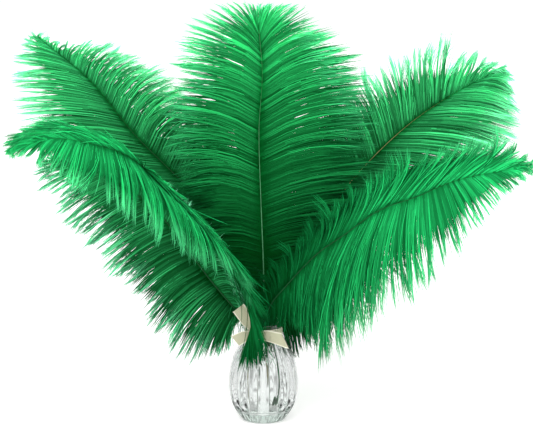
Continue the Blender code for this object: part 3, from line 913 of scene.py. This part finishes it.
@dataclass
class Feather:
    """Builds and dresses one plume: its shaft, and its barbs as tapered strands gathered in locks.

    Sizes are in millimetres and turns in degrees. Barbs are from shortest to longest as shares of their
    table's length, and a tuft's barbs root in tuft_fill of its width. Strays turn further and are pulled
    less. The start_turn is the share of a barb's turn that its start takes too. A change is the stretch
    of the plume where a pair goes over from its lower to its upper value. The fluff is barbules that
    stand off the barbs, and the down hangs from the plume's foot into the vase's neck. Rooms are gaps
    that barbs keep to the vase's lip, its inside, its outside and the ribbon, and under the soft top.
    """

    plume: Plume
    foot_radius: float = 1.1
    tip_radius: float = 0.22
    shaft_rings: int = 60
    shaft_sides: int = 10
    shaft_flatness: float = 0.8
    barbs_a_side: int = 1950
    barb_rings: int = 5
    barb_radius: float = 0.3
    tuft_fill: float = 0.85
    shortest: float = 0.3
    longest: float = 1.06
    stray_turn: float = 4.0
    stray_pull: float = 0.1
    pinch_spread: float = 0.2
    group_spread: float = 0.45
    start_turn: float = 0.15
    root_side: float = 0.7
    root_change: tuple[float, float] = (0.4, 0.58)
    tone_change: tuple[float, float] = (0.1, 0.8)
    under_a_side: int = 850
    under_rings: int = 3
    under_radius: float = 0.5
    under_change: tuple[float, float] = (0.2, 1.0)
    under_stretch: tuple[float, float] = (0.72, 1.08)
    under_turn: float = 0.6
    under_back: float = 0.8
    under_spread: float = 0.5
    fluff_a_side: int = 480
    fluff_radius: float = 0.13
    fluff_length: tuple[float, float] = (2.5, 6.0)
    fluff_turn: tuple[float, float] = (15, 50)
    fluff_at: tuple[float, float] = (0.35, 0.98)
    fluff_spread: float = 0.4
    down_count: int = 180
    down_from: float = 72.0
    down_above: float = 8.0
    down_length: tuple[float, float] = (12, 36)
    down_rise: tuple[float, float] = (-1.8, 0.2)
    depth_limits: tuple[float, float] = (-86.5, 83.5)
    soft_top: float = 358.0
    top_room: float = 9.0
    lip_room: float = 2.5
    inner_room: float = 0.8
    outer_room: float = 0.9
    ribbon_room: float = 2.6
    ribbon_half: float = 6.5
    draw: np.random.Generator = field(init=False)
    route: np.ndarray = field(init=False)
    first: float = field(init=False)

    def __post_init__(self) -> None:
        """Works out the route and where the barbs start on it."""
        self.draw = np.random.default_rng(self.plume.seed)
        self.route = np.array(self.plume.route, float)
        self.first = self.value_at(self.plume.barbs_from)

    def build(self) -> None:
        """Makes both pieces of the plume."""
        plume = self.plume
        shaft = self.shaft().to_object(plume.node + "_shaft")
        dress(shaft, plume.quill.material("dyed_horn_" + plume.node), plume.slot, plume.node)
        bundle = StrandBundle(3)
        for side in Side:
            self.vane(bundle, side)
        self.down(bundle)
        barbs = bundle.to_object(plume.node + "_barbs")
        dress(barbs, plume.barbs.material("dyed_ostrich_barbs_" + plume.node, plume.tufts), plume.slot, plume.node)

    def value_at(self, height: float) -> float:
        """How far along the route, 0 to 1, the shaft first reaches a height."""
        values = np.linspace(0, 1, CURVE_STEPS)
        return values[np.argmax(smooth_places(self.route, values)[:, 2] >= height)]

    def shaft_radius(self, values: np.ndarray) -> np.ndarray:
        """The shaft's radius at places along the whole route: thick up to the vane, then soon thin."""
        return self.tip_radius + (self.foot_radius - self.tip_radius) * (1 - values) ** 1.5

    def shaft(self) -> StrandBundle:
        """Draws the shaft.

        Returns:
            One thick strand with a flattened section, as wide as the map.
        """
        values = np.linspace(0, 1, self.shaft_rings + 1)
        centres, radii = smooth_places(self.route, values)[None], self.shaft_radius(values)[None, :-1]
        bundle = StrandBundle(self.shaft_sides)
        bundle.add(centres, radii, np.array([0.5]), values[None], map_width=1.0, flatness=self.shaft_flatness)
        return bundle

    def gathering(self, side: Side) -> Gathering:
        """How the barbs of a side hang together."""
        return self.plume.left_gathering if side is Side.LEFT else self.plume.right_gathering

    def sweep(self, side: Side, places: np.ndarray) -> tuple[np.ndarray, np.ndarray, np.ndarray]:
        """Directions and lengths of barbs at places between the table's rows.

        Args:
            side: The vane's side.
            places: Places along the barbed stretch, 0 to 1.

        Returns:
            Start directions, end directions and lengths.
        """
        rows = self.plume.left if side is Side.LEFT else self.plume.right
        marks, starts, ends, forward, lengths = np.array(rows, float).T
        directions = []
        for angles, lean in ((np.radians(starts), forward), (np.radians(ends), self.plume.curl * marks)):
            parts = (np.cos(angles), -lean, np.sin(angles))
            directions.append(unit(np.stack([np.interp(places, marks, part) for part in parts], axis=-1)))
        return directions[0], directions[1], np.interp(places, marks, lengths)

    def barb_lines(
        self, side: Side, places: np.ndarray, turns: np.ndarray, stretch: np.ndarray, shares: np.ndarray
    ) -> np.ndarray:
        """Centre lines of barbs that bend evenly from their start to their end direction.

        Args:
            side: The vane's side.
            places: Their places along the barbed stretch.
            turns: How far each is turned in the upright plane, in radians, in full at its end.
            stretch: Their lengths as shares of the full length.
            shares: Shares of a barb's length at which its rings stand.

        Returns:
            Places as barb, ring, xyz.
        """
        values = self.first + (1 - self.first) * places
        roots = smooth_places(self.route, values)
        along = unit(smooth_places(self.route, values + 0.01) - smooth_places(self.route, values - 0.01))
        across = unit(np.cross(along, FRONTWARDS))
        root_at = np.interp(places, self.root_change, self.gathering(side).root_at)
        roots = roots + across * (side.value * root_at * self.shaft_radius(values))[:, None]
        # Barbs that cross the shaft lie on its front.
        roots[:, 1] -= (self.root_side - root_at) * self.shaft_radius(values)
        start, end, length = self.sweep(side, places)
        return bent_lines(roots, turned(start, turns * self.start_turn), turned(end, turns), length * stretch, shares)

    def groups(self, width: float, places: np.ndarray) -> tuple[np.ndarray, np.ndarray]:
        """Splits barbs into neighbouring groups of random width.

        Args:
            width: The groups' usual width along the shaft, in mm.
            places: The barbs' places along the barbed stretch.

        Returns:
            Each barb's group number, and each group's middle place.
        """
        barbed = (1 - self.first) * np.linalg.norm(np.diff(self.route, axis=0), axis=1).sum()
        widths = self.draw.lognormal(0.0, self.group_spread, int(barbed / width / 1.1) + 2)
        edges = np.cumsum(widths) / widths.sum()
        group = np.minimum(np.searchsorted(edges, places), len(edges) - 1)
        return group, edges - widths / widths.sum() / 2

    def vane(self, bundle: StrandBundle, side: Side) -> None:
        """Adds one side's barbs, the fluff along them and the under layer.

        Args:
            bundle: What they are added to.
            side: The vane's side.
        """
        form = self.gathering(side)
        draw = self.draw
        count = self.barbs_a_side
        tufts = self.plume.tufts
        tuft = np.arange(count) * tufts // count
        in_it = draw.uniform(-self.tuft_fill, self.tuft_fill, count)
        places = np.clip((tuft + 0.5 + in_it / 2) / tufts, 0.0, 1.0)
        tuft_middles = (np.arange(tufts) + 0.5) / tufts
        lock, lock_middles = self.groups(form.lock_width, tuft_middles)
        lock, lock_middles = lock[tuft], lock_middles[lock][tuft]
        locks = lock.max() + 1

        def each(spread: float, members: np.ndarray, kinds: int) -> np.ndarray:
            """Random numbers around 0, the same for all barbs of a group."""
            return draw.normal(0, spread, kinds)[members]

        turn = np.radians(each(form.lock_turn, lock, locks) + each(form.tuft_turn, tuft, tufts))
        stray = draw.random(count) < form.strays
        barb_turn = np.radians(draw.normal(0, form.barb_turn, count) * np.where(stray, self.stray_turn, 1.0))
        stretch = np.clip(
            self.longest - np.abs(each(form.lock_cut, lock, locks)) - np.abs(each(form.lock_cut, tuft, tufts))
            - form.edge_cut * np.abs(in_it) ** 1.5 - np.abs(draw.normal(0, form.barb_cut, count)),
            self.shortest, self.longest,
        )
        shares = np.linspace(0, 1, self.barb_rings + 1) ** 0.8
        # Each barb is pulled from its own line to its tuft's, and from there to its lock's.
        own = self.barb_lines(side, places, turn + barb_turn, stretch, shares)
        in_tuft = self.barb_lines(side, tuft_middles[tuft], turn, stretch, shares)
        in_lock = self.barb_lines(side, lock_middles, turn, stretch, shares)
        gathered = form.root_pinch + (form.tip_pinch - form.root_pinch) * shares**1.5
        tight = (np.where(stray, self.stray_pull, 1.0) * draw.uniform(0.75, 1.0, count))[:, None]
        tuft_pull = (tight * gathered * np.clip(shares * 5, 0, 1))[..., None]
        pinch = np.clip(form.pinch + each(self.pinch_spread, lock, locks), 0, 0.95)[:, None]
        lock_pull = (pinch * tight * shares**form.lock_power)[..., None]
        lines = own + (in_tuft - own) * tuft_pull + (in_lock - in_tuft) * lock_pull

        # Tufts and locks spread out towards their tips, less so near the plume's tip.
        tame = np.clip(1.25 - places, 0.25, 1.0)
        shift = np.stack([
            draw.normal(0, form.splay, count),
            (each(form.depth * 0.6, lock, locks) + each(form.depth * 0.4, tuft, tufts)) * tame
            + draw.normal(0, form.depth * 0.3, count),
            draw.normal(0, form.splay, count),
        ], axis=-1)
        lines += shift[:, None] * (shares**1.5)[None, :, None]
        aside = unit(lines[:, -1] - lines[:, -2])
        aside = np.stack([-aside[:, 2], np.zeros(count), aside[:, 0]], axis=-1) * -side.value
        hook = form.hook + each(form.hook_spread, tuft, tufts) + draw.normal(0, form.hook_spread * 0.12, count)
        lines += (aside * hook[:, None])[:, None] * (shares**4)[None, :, None]
        lines = self.kept_clear(lines)
        size = self.barb_radius * draw.uniform(0.75, 1.25, count)
        swell = np.interp(shares[:-1], [0, 0.25, 0.8, 1.0], [0.9, 1.0, 0.85, 0.5])
        across = self.map_cell(places + draw.normal(0, 0.3 / tufts, count), side)
        reach = np.interp(places, self.tone_change, form.tone_reach)
        bundle.add(lines, size[:, None] * swell, across, shares * reach[:, None])
        self.fluff(bundle, lines, shares, across, reach)
        self.under_layer(bundle, form, side)

    def under_layer(self, bundle: StrandBundle, form: Gathering, side: Side) -> None:
        """Adds the thick barbs that lie between and behind the tufts, in real shade and in painted shade.

        Args:
            bundle: What they are added to.
            form: How the side is gathered.
            side: The vane's side.
        """
        draw = self.draw
        count = self.under_a_side
        places = (np.arange(count) + 0.5) / count
        shares = np.linspace(0, 1, self.under_rings + 1)
        reach = np.interp(places, self.under_change, form.under_reach)
        stretch = reach * draw.uniform(*self.under_stretch, count)
        turn = np.radians(draw.normal(0, self.under_turn, count))
        lines = self.barb_lines(side, places, turn, stretch, shares)
        lines[..., 1] += (self.under_back + draw.normal(0, self.under_spread, count))[:, None] * shares
        radii = np.tile(self.under_radius * np.linspace(0.8, 1.0, self.under_rings), (count, 1))
        # On the map they lie between two tufts, where the material paints shade. Near the plume's tip they move towards
        # the painted highlight of the ridges.
        lit = np.interp(places, [0.6, 0.95], [0.0, 0.3])
        across = self.map_cell((np.round(places * self.plume.tufts) + lit) / self.plume.tufts, side)
        bundle.add(self.kept_clear(lines), radii, across, shares * (0.6 + lit[:, None]))

    def fluff(
        self, bundle: StrandBundle, lines: np.ndarray, shares: np.ndarray, across: np.ndarray, reach: np.ndarray
    ) -> None:
        """Adds fine barbules that stand off the outer part of random barbs.

        Args:
            bundle: What they are added to.
            lines: The barbs' centre lines.
            shares: Shares of a barb's length of its rings.
            across: The barbs' places across the map.
            reach: How far up the map the barbs reach.
        """
        draw = self.draw
        count = self.fluff_a_side
        spans = len(shares) - 1
        barb = draw.integers(0, len(lines), count)
        at = draw.uniform(*self.fluff_at, count) ** 0.7 * spans
        ring = np.minimum(at.astype(int), spans - 1)
        low, high = lines[barb, ring], lines[barb, ring + 1]
        root = low + (high - low) * (at - ring)[:, None]
        away = turned(unit(high - low), np.radians(draw.uniform(*self.fluff_turn, count)) * draw.choice([-1, 1], count))
        away[:, 1] += draw.normal(0, self.fluff_spread, count)
        length = draw.uniform(*self.fluff_length, count)
        steps = np.array([0.0, 0.5, 1.0])
        centres = root[:, None] + (
            unit(away)[:, None] * steps[:, None] + unit(high - low)[:, None] * (steps**2)[:, None] * 0.5
        ) * length[:, None, None]
        radii = np.tile(self.fluff_radius * np.array([1.0, 0.7]), (count, 1))
        up = np.clip((at / spans)[:, None] + steps * 0.15, 0, 1)
        bundle.add(centres, radii, across[barb], up * reach[barb, None])

    def down(self, bundle: StrandBundle) -> None:
        """Adds the downy barbs at the plume's foot, which hang into the vase's neck.

        Args:
            bundle: What they are added to.
        """
        draw = self.draw
        count = self.down_count
        lowest, highest = self.value_at(self.down_from), self.value_at(self.plume.barbs_from + self.down_above)
        roots = smooth_places(self.route, draw.uniform(lowest, highest, count))
        turn = draw.uniform(0, math.tau, count)
        start = unit(np.stack([np.cos(turn), np.sin(turn), draw.uniform(*self.down_rise, count)], axis=-1))
        end = unit(np.stack([np.cos(turn) * 0.3, np.sin(turn) * 0.3, -np.ones(count)], axis=-1))
        shares = np.linspace(0, 1, self.barb_rings + 1)
        lines = bent_lines(roots, start * 0.55, end * 1.5, draw.uniform(*self.down_length, count), shares)
        radii = self.barb_radius * 0.8 * np.tile(np.linspace(1, 0.4, self.barb_rings), (count, 1))
        across = self.map_cell(draw.uniform(0.05, 0.5, count), Side.LEFT)
        bundle.add(self.kept_clear(lines), radii, across, np.tile(0.1 + shares * 0.6, (count, 1)))

    def map_cell(self, places: np.ndarray, side: Side) -> np.ndarray:
        """Where barbs stand across the map: the middles of its cells, one half of the map a side.

        Args:
            places: Their places along the barbed stretch.
            side: The vane's side.

        Returns:
            Places across the map, 0 to 1.
        """
        half = BARB_CELLS // 2
        cell = np.clip((places * half).astype(int), 0, half - 1)
        return (cell + 0.5 + (0 if side is Side.LEFT else half)) / BARB_CELLS

    def kept_clear(self, lines: np.ndarray) -> np.ndarray:
        """Barbs moved out of the vase's wall and the ribbon round it, and kept within the plumes' depth.

        Args:
            lines: Centre lines in mm, as barb, ring, xyz.

        Returns:
            The lines, moved where they have to be.
        """
        lines = lines.copy()
        lines[..., 1] = np.clip(lines[..., 1], *self.depth_limits)
        above = lines[..., 2] - self.soft_top
        eased = self.soft_top + self.top_room * (1 - np.exp(-above / self.top_room))
        height = lines[..., 2] = np.where(above > 0, eased, lines[..., 2])
        heights, radii = np.array(VASE_OUTSIDE, float).T
        wall = np.interp(height, heights, radii)
        radius = np.hypot(lines[..., 0], lines[..., 1])
        below = height < heights[-1] + self.lip_room
        # A barb that is inside the mouth where it first comes below the lip stays inside. The others stay outside.
        first = np.argmax(below, axis=1)
        held = radius[np.arange(len(lines)), first] < radii[-1]
        room = np.where(np.abs(height - BAND_HEIGHT) < self.ribbon_half, self.ribbon_room, self.outer_room)
        inner = wall - VASE_WALL - self.inner_room
        target = np.where(held[:, None], np.minimum(radius, inner), np.maximum(radius, wall + room))
        scale = np.where(below, target / np.maximum(radius, 1e-6), 1.0)
        lines[..., :2] *= scale[..., None]
        return lines


# ---------------------------------------------------------------- vase


@dataclass
class FlutedVase:
    """The pressed glass vase: an egg with convex flutes outside, plain inside. Sizes in millimetres.

    The lip's points say how far they stand in from and above the outside's top, as shares of the wall.
    The bowl's points, where the inside rounds into the floor, how far they stand in from the inside's
    wall and above the floor. The wall ends bowl_height above it, and bowl_flat is the flat middle's share.
    """

    outside: Rows = VASE_OUTSIDE
    wall: float = VASE_WALL
    lip: Rows = ((0.1, 0.25), (0.5, 0.36), (0.9, 0.2))
    floor: float = 9.0
    bowl: Rows = ((1.0, 2.0), (4.0, 0.3))
    bowl_height: float = 4.0
    bowl_flat: float = 0.4
    foot_inset: float = 1.0
    flutes: int = 18
    columns_a_flute: int = 4
    flute_share: float = 0.955
    flute_crease: float = 0.8
    flute_ends: float = 1.0
    rings: int = 14
    curve_points: int = 400
    glass: PressedGlass = PressedGlass()
    curve: np.ndarray = field(init=False)

    def __post_init__(self) -> None:
        """Draws the outside's smooth curve, as heights and radii."""
        self.curve = smooth_places(np.array(self.outside, float), np.linspace(0, 1, self.curve_points)).T

    def profile(self) -> list[tuple[float, float]]:
        """Draws the wall's section.

        Returns:
            Radius and height of each ring, from the underside's rim up to the lip and down to the floor.
        """
        heights = self.outside[-1][0] * np.linspace(0, 1, self.rings + 1)
        radii = np.interp(heights, *self.curve)
        up = list(zip(radii, heights))
        lip = [(radii[-1] - self.wall * inset, heights[-1] + self.wall * rise) for inset, rise in self.lip]
        lowest = self.floor + self.bowl_height
        down = [(radius - self.wall, height) for radius, height in reversed(up) if height > lowest]
        inside = float(np.interp(self.floor, heights, radii)) - self.wall
        bowl = [(inside - inset, self.floor + rise) for inset, rise in self.bowl]
        return [(radii[0] - self.foot_inset, 0.0), *up, *lip, *down, *bowl, (inside * self.bowl_flat, self.floor)]

    def build(self) -> None:
        """Makes the vase by drawing one disc up the outside, over the lip and down the inside."""
        deselect_all()
        profile = self.profile()
        columns = self.flutes * self.columns_a_flute
        bpy.ops.mesh.primitive_circle_add(vertices=columns, radius=profile[0][0] * MM, fill_type="NGON")
        piece = bpy.context.object
        piece.name = piece.data.name = "vase_glass"
        bpy.ops.object.mode_set(mode="EDIT")
        bpy.ops.mesh.select_all(action="SELECT")
        for (radius, height), (next_radius, next_height) in zip(profile, profile[1:]):
            bpy.ops.mesh.extrude_region_move(TRANSFORM_OT_translate={"value": (0, 0, (next_height - height) * MM)})
            size = next_radius / radius
            bpy.ops.transform.resize(value=(size, size, 1), center_override=(0, 0, 0))
        bpy.ops.object.mode_set(mode="OBJECT")
        self.press_flutes(piece)
        apply_modifier(piece, "SUBSURF", levels=2, render_levels=2)
        bpy.ops.object.mode_set(mode="EDIT")
        bpy.ops.mesh.select_all(action="SELECT")
        bpy.ops.mesh.normals_make_consistent(inside=False)
        bpy.ops.object.mode_set(mode="OBJECT")
        bpy.ops.object.shade_smooth()
        dress(piece, self.glass.material("pressed_soda_lime_glass"), "fluted_glass", "vase")

    def press_flutes(self, piece: bpy.types.Object) -> None:
        """Draws one outside column a flute inwards, which leaves convex flutes between the grooves.

        Args:
            piece: The vase's object.
        """
        step = math.tau / self.flutes
        highest = self.outside[-1][0] - self.flute_ends
        for vertex in piece.data.vertices:
            x, y, z = (part / MM for part in vertex.co)
            turn = (math.atan2(y, x) / step) % 1.0
            in_groove = min(turn, 1 - turn) < 0.5 / self.columns_a_flute
            outer = math.hypot(x, y) > np.interp(z, *self.curve) - self.wall / 2
            vertex.select = in_groove and outer and self.flute_ends < z < highest
        for part in (*piece.data.edges, *piece.data.polygons):
            part.select = False
        bpy.ops.object.mode_set(mode="EDIT")
        bpy.ops.mesh.select_mode(type="VERT")
        bpy.ops.transform.resize(value=(self.flute_share, self.flute_share, 1), center_override=(0, 0, 0))
        bpy.ops.transform.edge_crease(value=self.flute_crease)
        bpy.ops.object.mode_set(mode="OBJECT")


# ---------------------------------------------------------------- ribbon


@dataclass(frozen=True)
class Strip:
    """One stretch of the ribbon: middle line and half widths, all in millimetres, as points on the way."""

    middle: Rows
    halves: Rows


@dataclass
class RibbonBow:
    """The ribbon: round the neck, tied at the front left, with loops and tails. Sizes in millimetres."""

    width: float = 12.0
    thickness: float = 0.35
    across: int = 4
    step_mm: float = 1.5
    smooth_angle: float = 50.0
    cloth: WovenRibbon = WovenRibbon()
    strips: tuple[Strip, ...] = (
        Strip(  # upper loop: out along the front, round, and back behind
            ((-9.0, -19.0, 81.5), (-14.0, -22.0, 91.0), (-20.5, -22.6, 102.5), (-21.6, -21.4, 103.8),
             (-20.0, -20.4, 102.0), (-14.0, -18.8, 91.0), (-9.0, -18.2, 82.0)),
            ((1.8, 0.4, -1.4), (4.2, 0.8, 1.6), (4.6, 0.8, 3.4), (4.6, 0.8, 3.4), (4.6, 0.8, 3.4), (4.2, 0.8, 1.6),
             (1.8, 0.4, -1.4)),
        ),
        Strip(  # right loop
            ((-6.0, -19.4, 79.0), (4.0, -22.6, 79.0), (15.5, -22.4, 75.6), (18.6, -20.8, 74.6), (15.0, -19.4, 75.6),
             (4.0, -19.0, 78.6), (-6.0, -18.4, 79.0)),
            ((0.0, 0.0, 3.0), (-1.2, 0.4, 5.0), (-3.0, 0.9, 6.4), (-3.2, 0.9, 6.6), (-3.0, 0.9, 6.4), (-1.2, 0.4, 5.0),
             (0.0, 0.0, 3.0)),
        ),
        Strip(  # side tail
            ((-8.5, -19.0, 80.0), (-16.0, -21.2, 78.8), (-24.4, -20.6, 74.4)),
            ((-0.6, 0.0, 3.2), (-2.6, 0.2, 4.2), (-3.6, 0.0, 4.4)),
        ),
        Strip(  # upper tail, edge-on
            ((-8.8, -18.6, 81.0), (-11.0, -20.4, 94.0), (-13.4, -20.8, 107.5)),
            ((1.2, 1.6, 0.0), (1.0, 3.6, 0.0), (0.9, 4.2, 0.0)),
        ),
    )
    band_radius: float = NECK_RADIUS
    band_height: float = BAND_HEIGHT
    band_half: float = 4.2
    band_gap: float = 0.9
    band_seam: float = -math.pi / 2 - 0.45
    band_points: int = 25
    knot_centre: tuple[float, float, float] = (-7.6, -17.9, 79.8)
    knot_size: tuple[float, float] = (2.9, 4.4)
    knot_half: tuple[float, float, float] = (3.6, 1.4, 0.0)
    knot_points: int = 13

    def build(self) -> None:
        """Makes the ribbon of its strips, the band and the knot."""
        shape = bmesh.new()
        layer = shape.loops.layers.uv.new(OWN_MAP)
        length = 0.0
        for strip in self.all_strips():
            length += self.add_strip(shape, layer, strip, length)
        mesh = bpy.data.meshes.new("ribbon")
        shape.to_mesh(mesh)
        shape.free()
        for loop in mesh.uv_layers[OWN_MAP].uv:
            loop.vector = (loop.vector[0], loop.vector[1] / length)
        piece = placed("ribbon", mesh)
        deselect_all()
        bpy.context.view_layer.objects.active = piece
        piece.select_set(True)
        apply_modifier(piece, "SOLIDIFY", thickness=self.thickness * MM, offset=0.0)
        bpy.ops.object.shade_smooth_by_angle(angle=math.radians(self.smooth_angle))
        dress(piece, self.cloth.material("woven_polyester_ribbon", self.width, length), "cream_ribbon", "ribbon_bow")

    def all_strips(self) -> list[Strip]:
        """Draws all stretches of the ribbon.

        Returns:
            The loops and tails, then the band round the neck and the knot's wrap.
        """
        radius = self.band_radius + self.band_gap
        around = np.linspace(self.band_seam, self.band_seam + math.tau, self.band_points)
        band = Strip(
            tuple((radius * math.cos(turn), radius * math.sin(turn), self.band_height) for turn in around),
            tuple((0.0, 0.0, self.band_half) for _ in around),
        )
        x, y, z = self.knot_centre
        deep, high = self.knot_size
        turns = np.linspace(0, math.tau, self.knot_points)
        wrap = Strip(
            tuple((x, y + deep * math.cos(turn), z + high * math.sin(turn)) for turn in turns),
            tuple(self.knot_half for _ in turns),
        )
        return [*self.strips, band, wrap]

    def add_strip(
        self, shape: bmesh.types.BMesh, layer: bmesh.types.BMLayerItem, strip: Strip, begins: float
    ) -> float:
        """Adds one strip as a sheet with its map.

        Args:
            shape: What it is added to.
            layer: The map.
            strip: The strip.
            begins: How much ribbon comes before it, in mm.

        Returns:
            The strip's length in mm.
        """
        middle = np.array(strip.middle, float)
        halves = np.array(strip.halves, float)
        run = np.linalg.norm(np.diff(middle, axis=0), axis=1)
        marks = np.concatenate(([0.0], np.cumsum(run))) / run.sum()
        steps = max(int(run.sum() / self.step_mm), 4)
        values = np.linspace(0, 1, steps + 1)
        line = smooth_places(middle, values)
        half = np.stack([np.interp(values, marks, part) for part in halves.T], axis=-1)
        sides = np.linspace(-1, 1, self.across + 1)
        grid = [[shape.verts.new((line[row] + half[row] * side) * MM) for side in sides] for row in range(steps + 1)]
        for row in range(steps):
            for column in range(self.across):
                corners = ((row, column), (row, column + 1), (row + 1, column + 1), (row + 1, column))
                face = shape.faces.new([grid[at][side] for at, side in corners])
                for loop, (at, side) in zip(face.loops, corners):
                    loop[layer].uv = (side / self.across, begins + values[at] * run.sum())
        return float(run.sum())


# ---------------------------------------------------------------- studio


@dataclass
class Studio:
    """The floor, the lights and the camera. Sizes are in metres and angles in degrees.

    The room is a white backdrop to the camera, gives less light to matt surfaces, and shows its stripes
    to shiny and clear ones.
    """

    distance: float = 1.25
    elevation: float = 8.0
    target: tuple[float, float, float] = (0.00266, 0.0, 0.17647)
    focal_px: float = 1436.8
    frame_width_px: float = 533.0
    sensor_mm: float = 36.0
    floor_size: float = 60.0
    backdrop_light: float = 1.05
    room_light: float = 0.88
    screen_pitch: float = 0.28
    screen_light: float = 0.3
    key_from: tuple[float, float, float] = (-0.4, -0.9, 1.1)
    key_strength: float = 1.5
    key_spread: float = 45.0
    fill_at: tuple[float, float, float] = (1.2, -1.1, 0.7)
    fill_size: float = 1.2
    fill_watts: float = 5.0

    def build(self) -> None:
        """Makes the floor, the lights and the camera."""
        self.make_floor()
        self.make_world()
        # The key is as broad in the sky as a large soft box, and the fill faces the middle of the object.
        spread = math.radians(self.key_spread)
        self.add_lamp("key", "SUN", self.key_from, (0.0, 0.0, 0.0), energy=self.key_strength, angle=spread)
        self.add_lamp("fill", "AREA", self.fill_at, self.target, energy=self.fill_watts, size=self.fill_size)
        self.make_camera()

    def make_floor(self) -> None:
        """A wide pale floor under the object."""
        deselect_all()
        bpy.ops.mesh.primitive_plane_add(size=self.floor_size, location=(0, 0, 0))
        floor = bpy.context.object
        floor.name = "floor"
        floor.data.materials.append(PaleBoard().material("matt_painted_board"))

    def make_world(self) -> None:
        """A white room, dimmer in what it lights than to the eye, with soft grey stripes all round it.

        Only rays that glass and other shiny surfaces mirror or bend meet the stripes, so that the flutes
        are drawn with dark lines, as a photographer of glassware would have it.
        """
        world = bpy.data.worlds.new("soft_room")
        world.use_nodes = True
        tree = world.node_tree
        way = add_node(tree, "ShaderNodeTexCoord").outputs["Generated"]
        parts = add_node(tree, "ShaderNodeSeparateXYZ", inputs={"Vector": way})
        room = stripes(tree, parts.outputs["X"], self.screen_pitch, self.screen_light)
        path = add_node(tree, "ShaderNodeLightPath").outputs
        light = mixed(tree, "FLOAT", path["Is Diffuse Ray"], room, self.room_light)
        light = mixed(tree, "FLOAT", path["Is Camera Ray"], light, self.backdrop_light)
        plug(tree, tree.nodes["Background"], {"Color": (1.0, 1.0, 1.0, 1.0), "Strength": light})
        bpy.context.scene.world = world

    def add_lamp(
        self, name: str, kind: str, place: tuple[float, float, float], faces: tuple[float, float, float],
        **settings: float,
    ) -> None:
        """Adds a light.

        Args:
            name: The light's name.
            kind: SUN or AREA.
            place: Where it stands.
            faces: The place that it faces.
            settings: Its strength and size.
        """
        light = bpy.data.lights.new(name, kind)
        for setting, value in settings.items():
            setattr(light, setting, value)
        lamp = placed(name, light)
        lamp.location = place
        lamp.rotation_euler = (Vector(faces) - Vector(place)).to_track_quat("-Z", "Y").to_euler()

    def make_camera(self) -> None:
        """The camera, level, a little above the object and straight in front of it."""
        camera = bpy.data.cameras.new("camera")
        camera.sensor_width = self.sensor_mm
        camera.lens = self.focal_px / self.frame_width_px * self.sensor_mm
        camera.clip_start = 0.05
        camera.clip_end = 50.0
        stand = placed("camera", camera)
        tilt = math.radians(self.elevation)
        x, y, z = self.target
        stand.location = (x, y - self.distance * math.cos(tilt), z + self.distance * math.sin(tilt))
        stand.rotation_euler = (math.pi / 2 - tilt, 0.0, 0.0)
        bpy.context.scene.camera = stand
        bpy.context.scene.view_settings.view_transform = "Standard"


def main() -> None:
    """Builds the plumes, the vase, the ribbon and the studio."""
    logging.basicConfig(level=logging.INFO, format="%(message)s")
    for plume in PLUMES:
        Feather(plume).build()
    FlutedVase().build()
    RibbonBow().build()
    Studio().build()


if __name__ == "__main__":
    main()
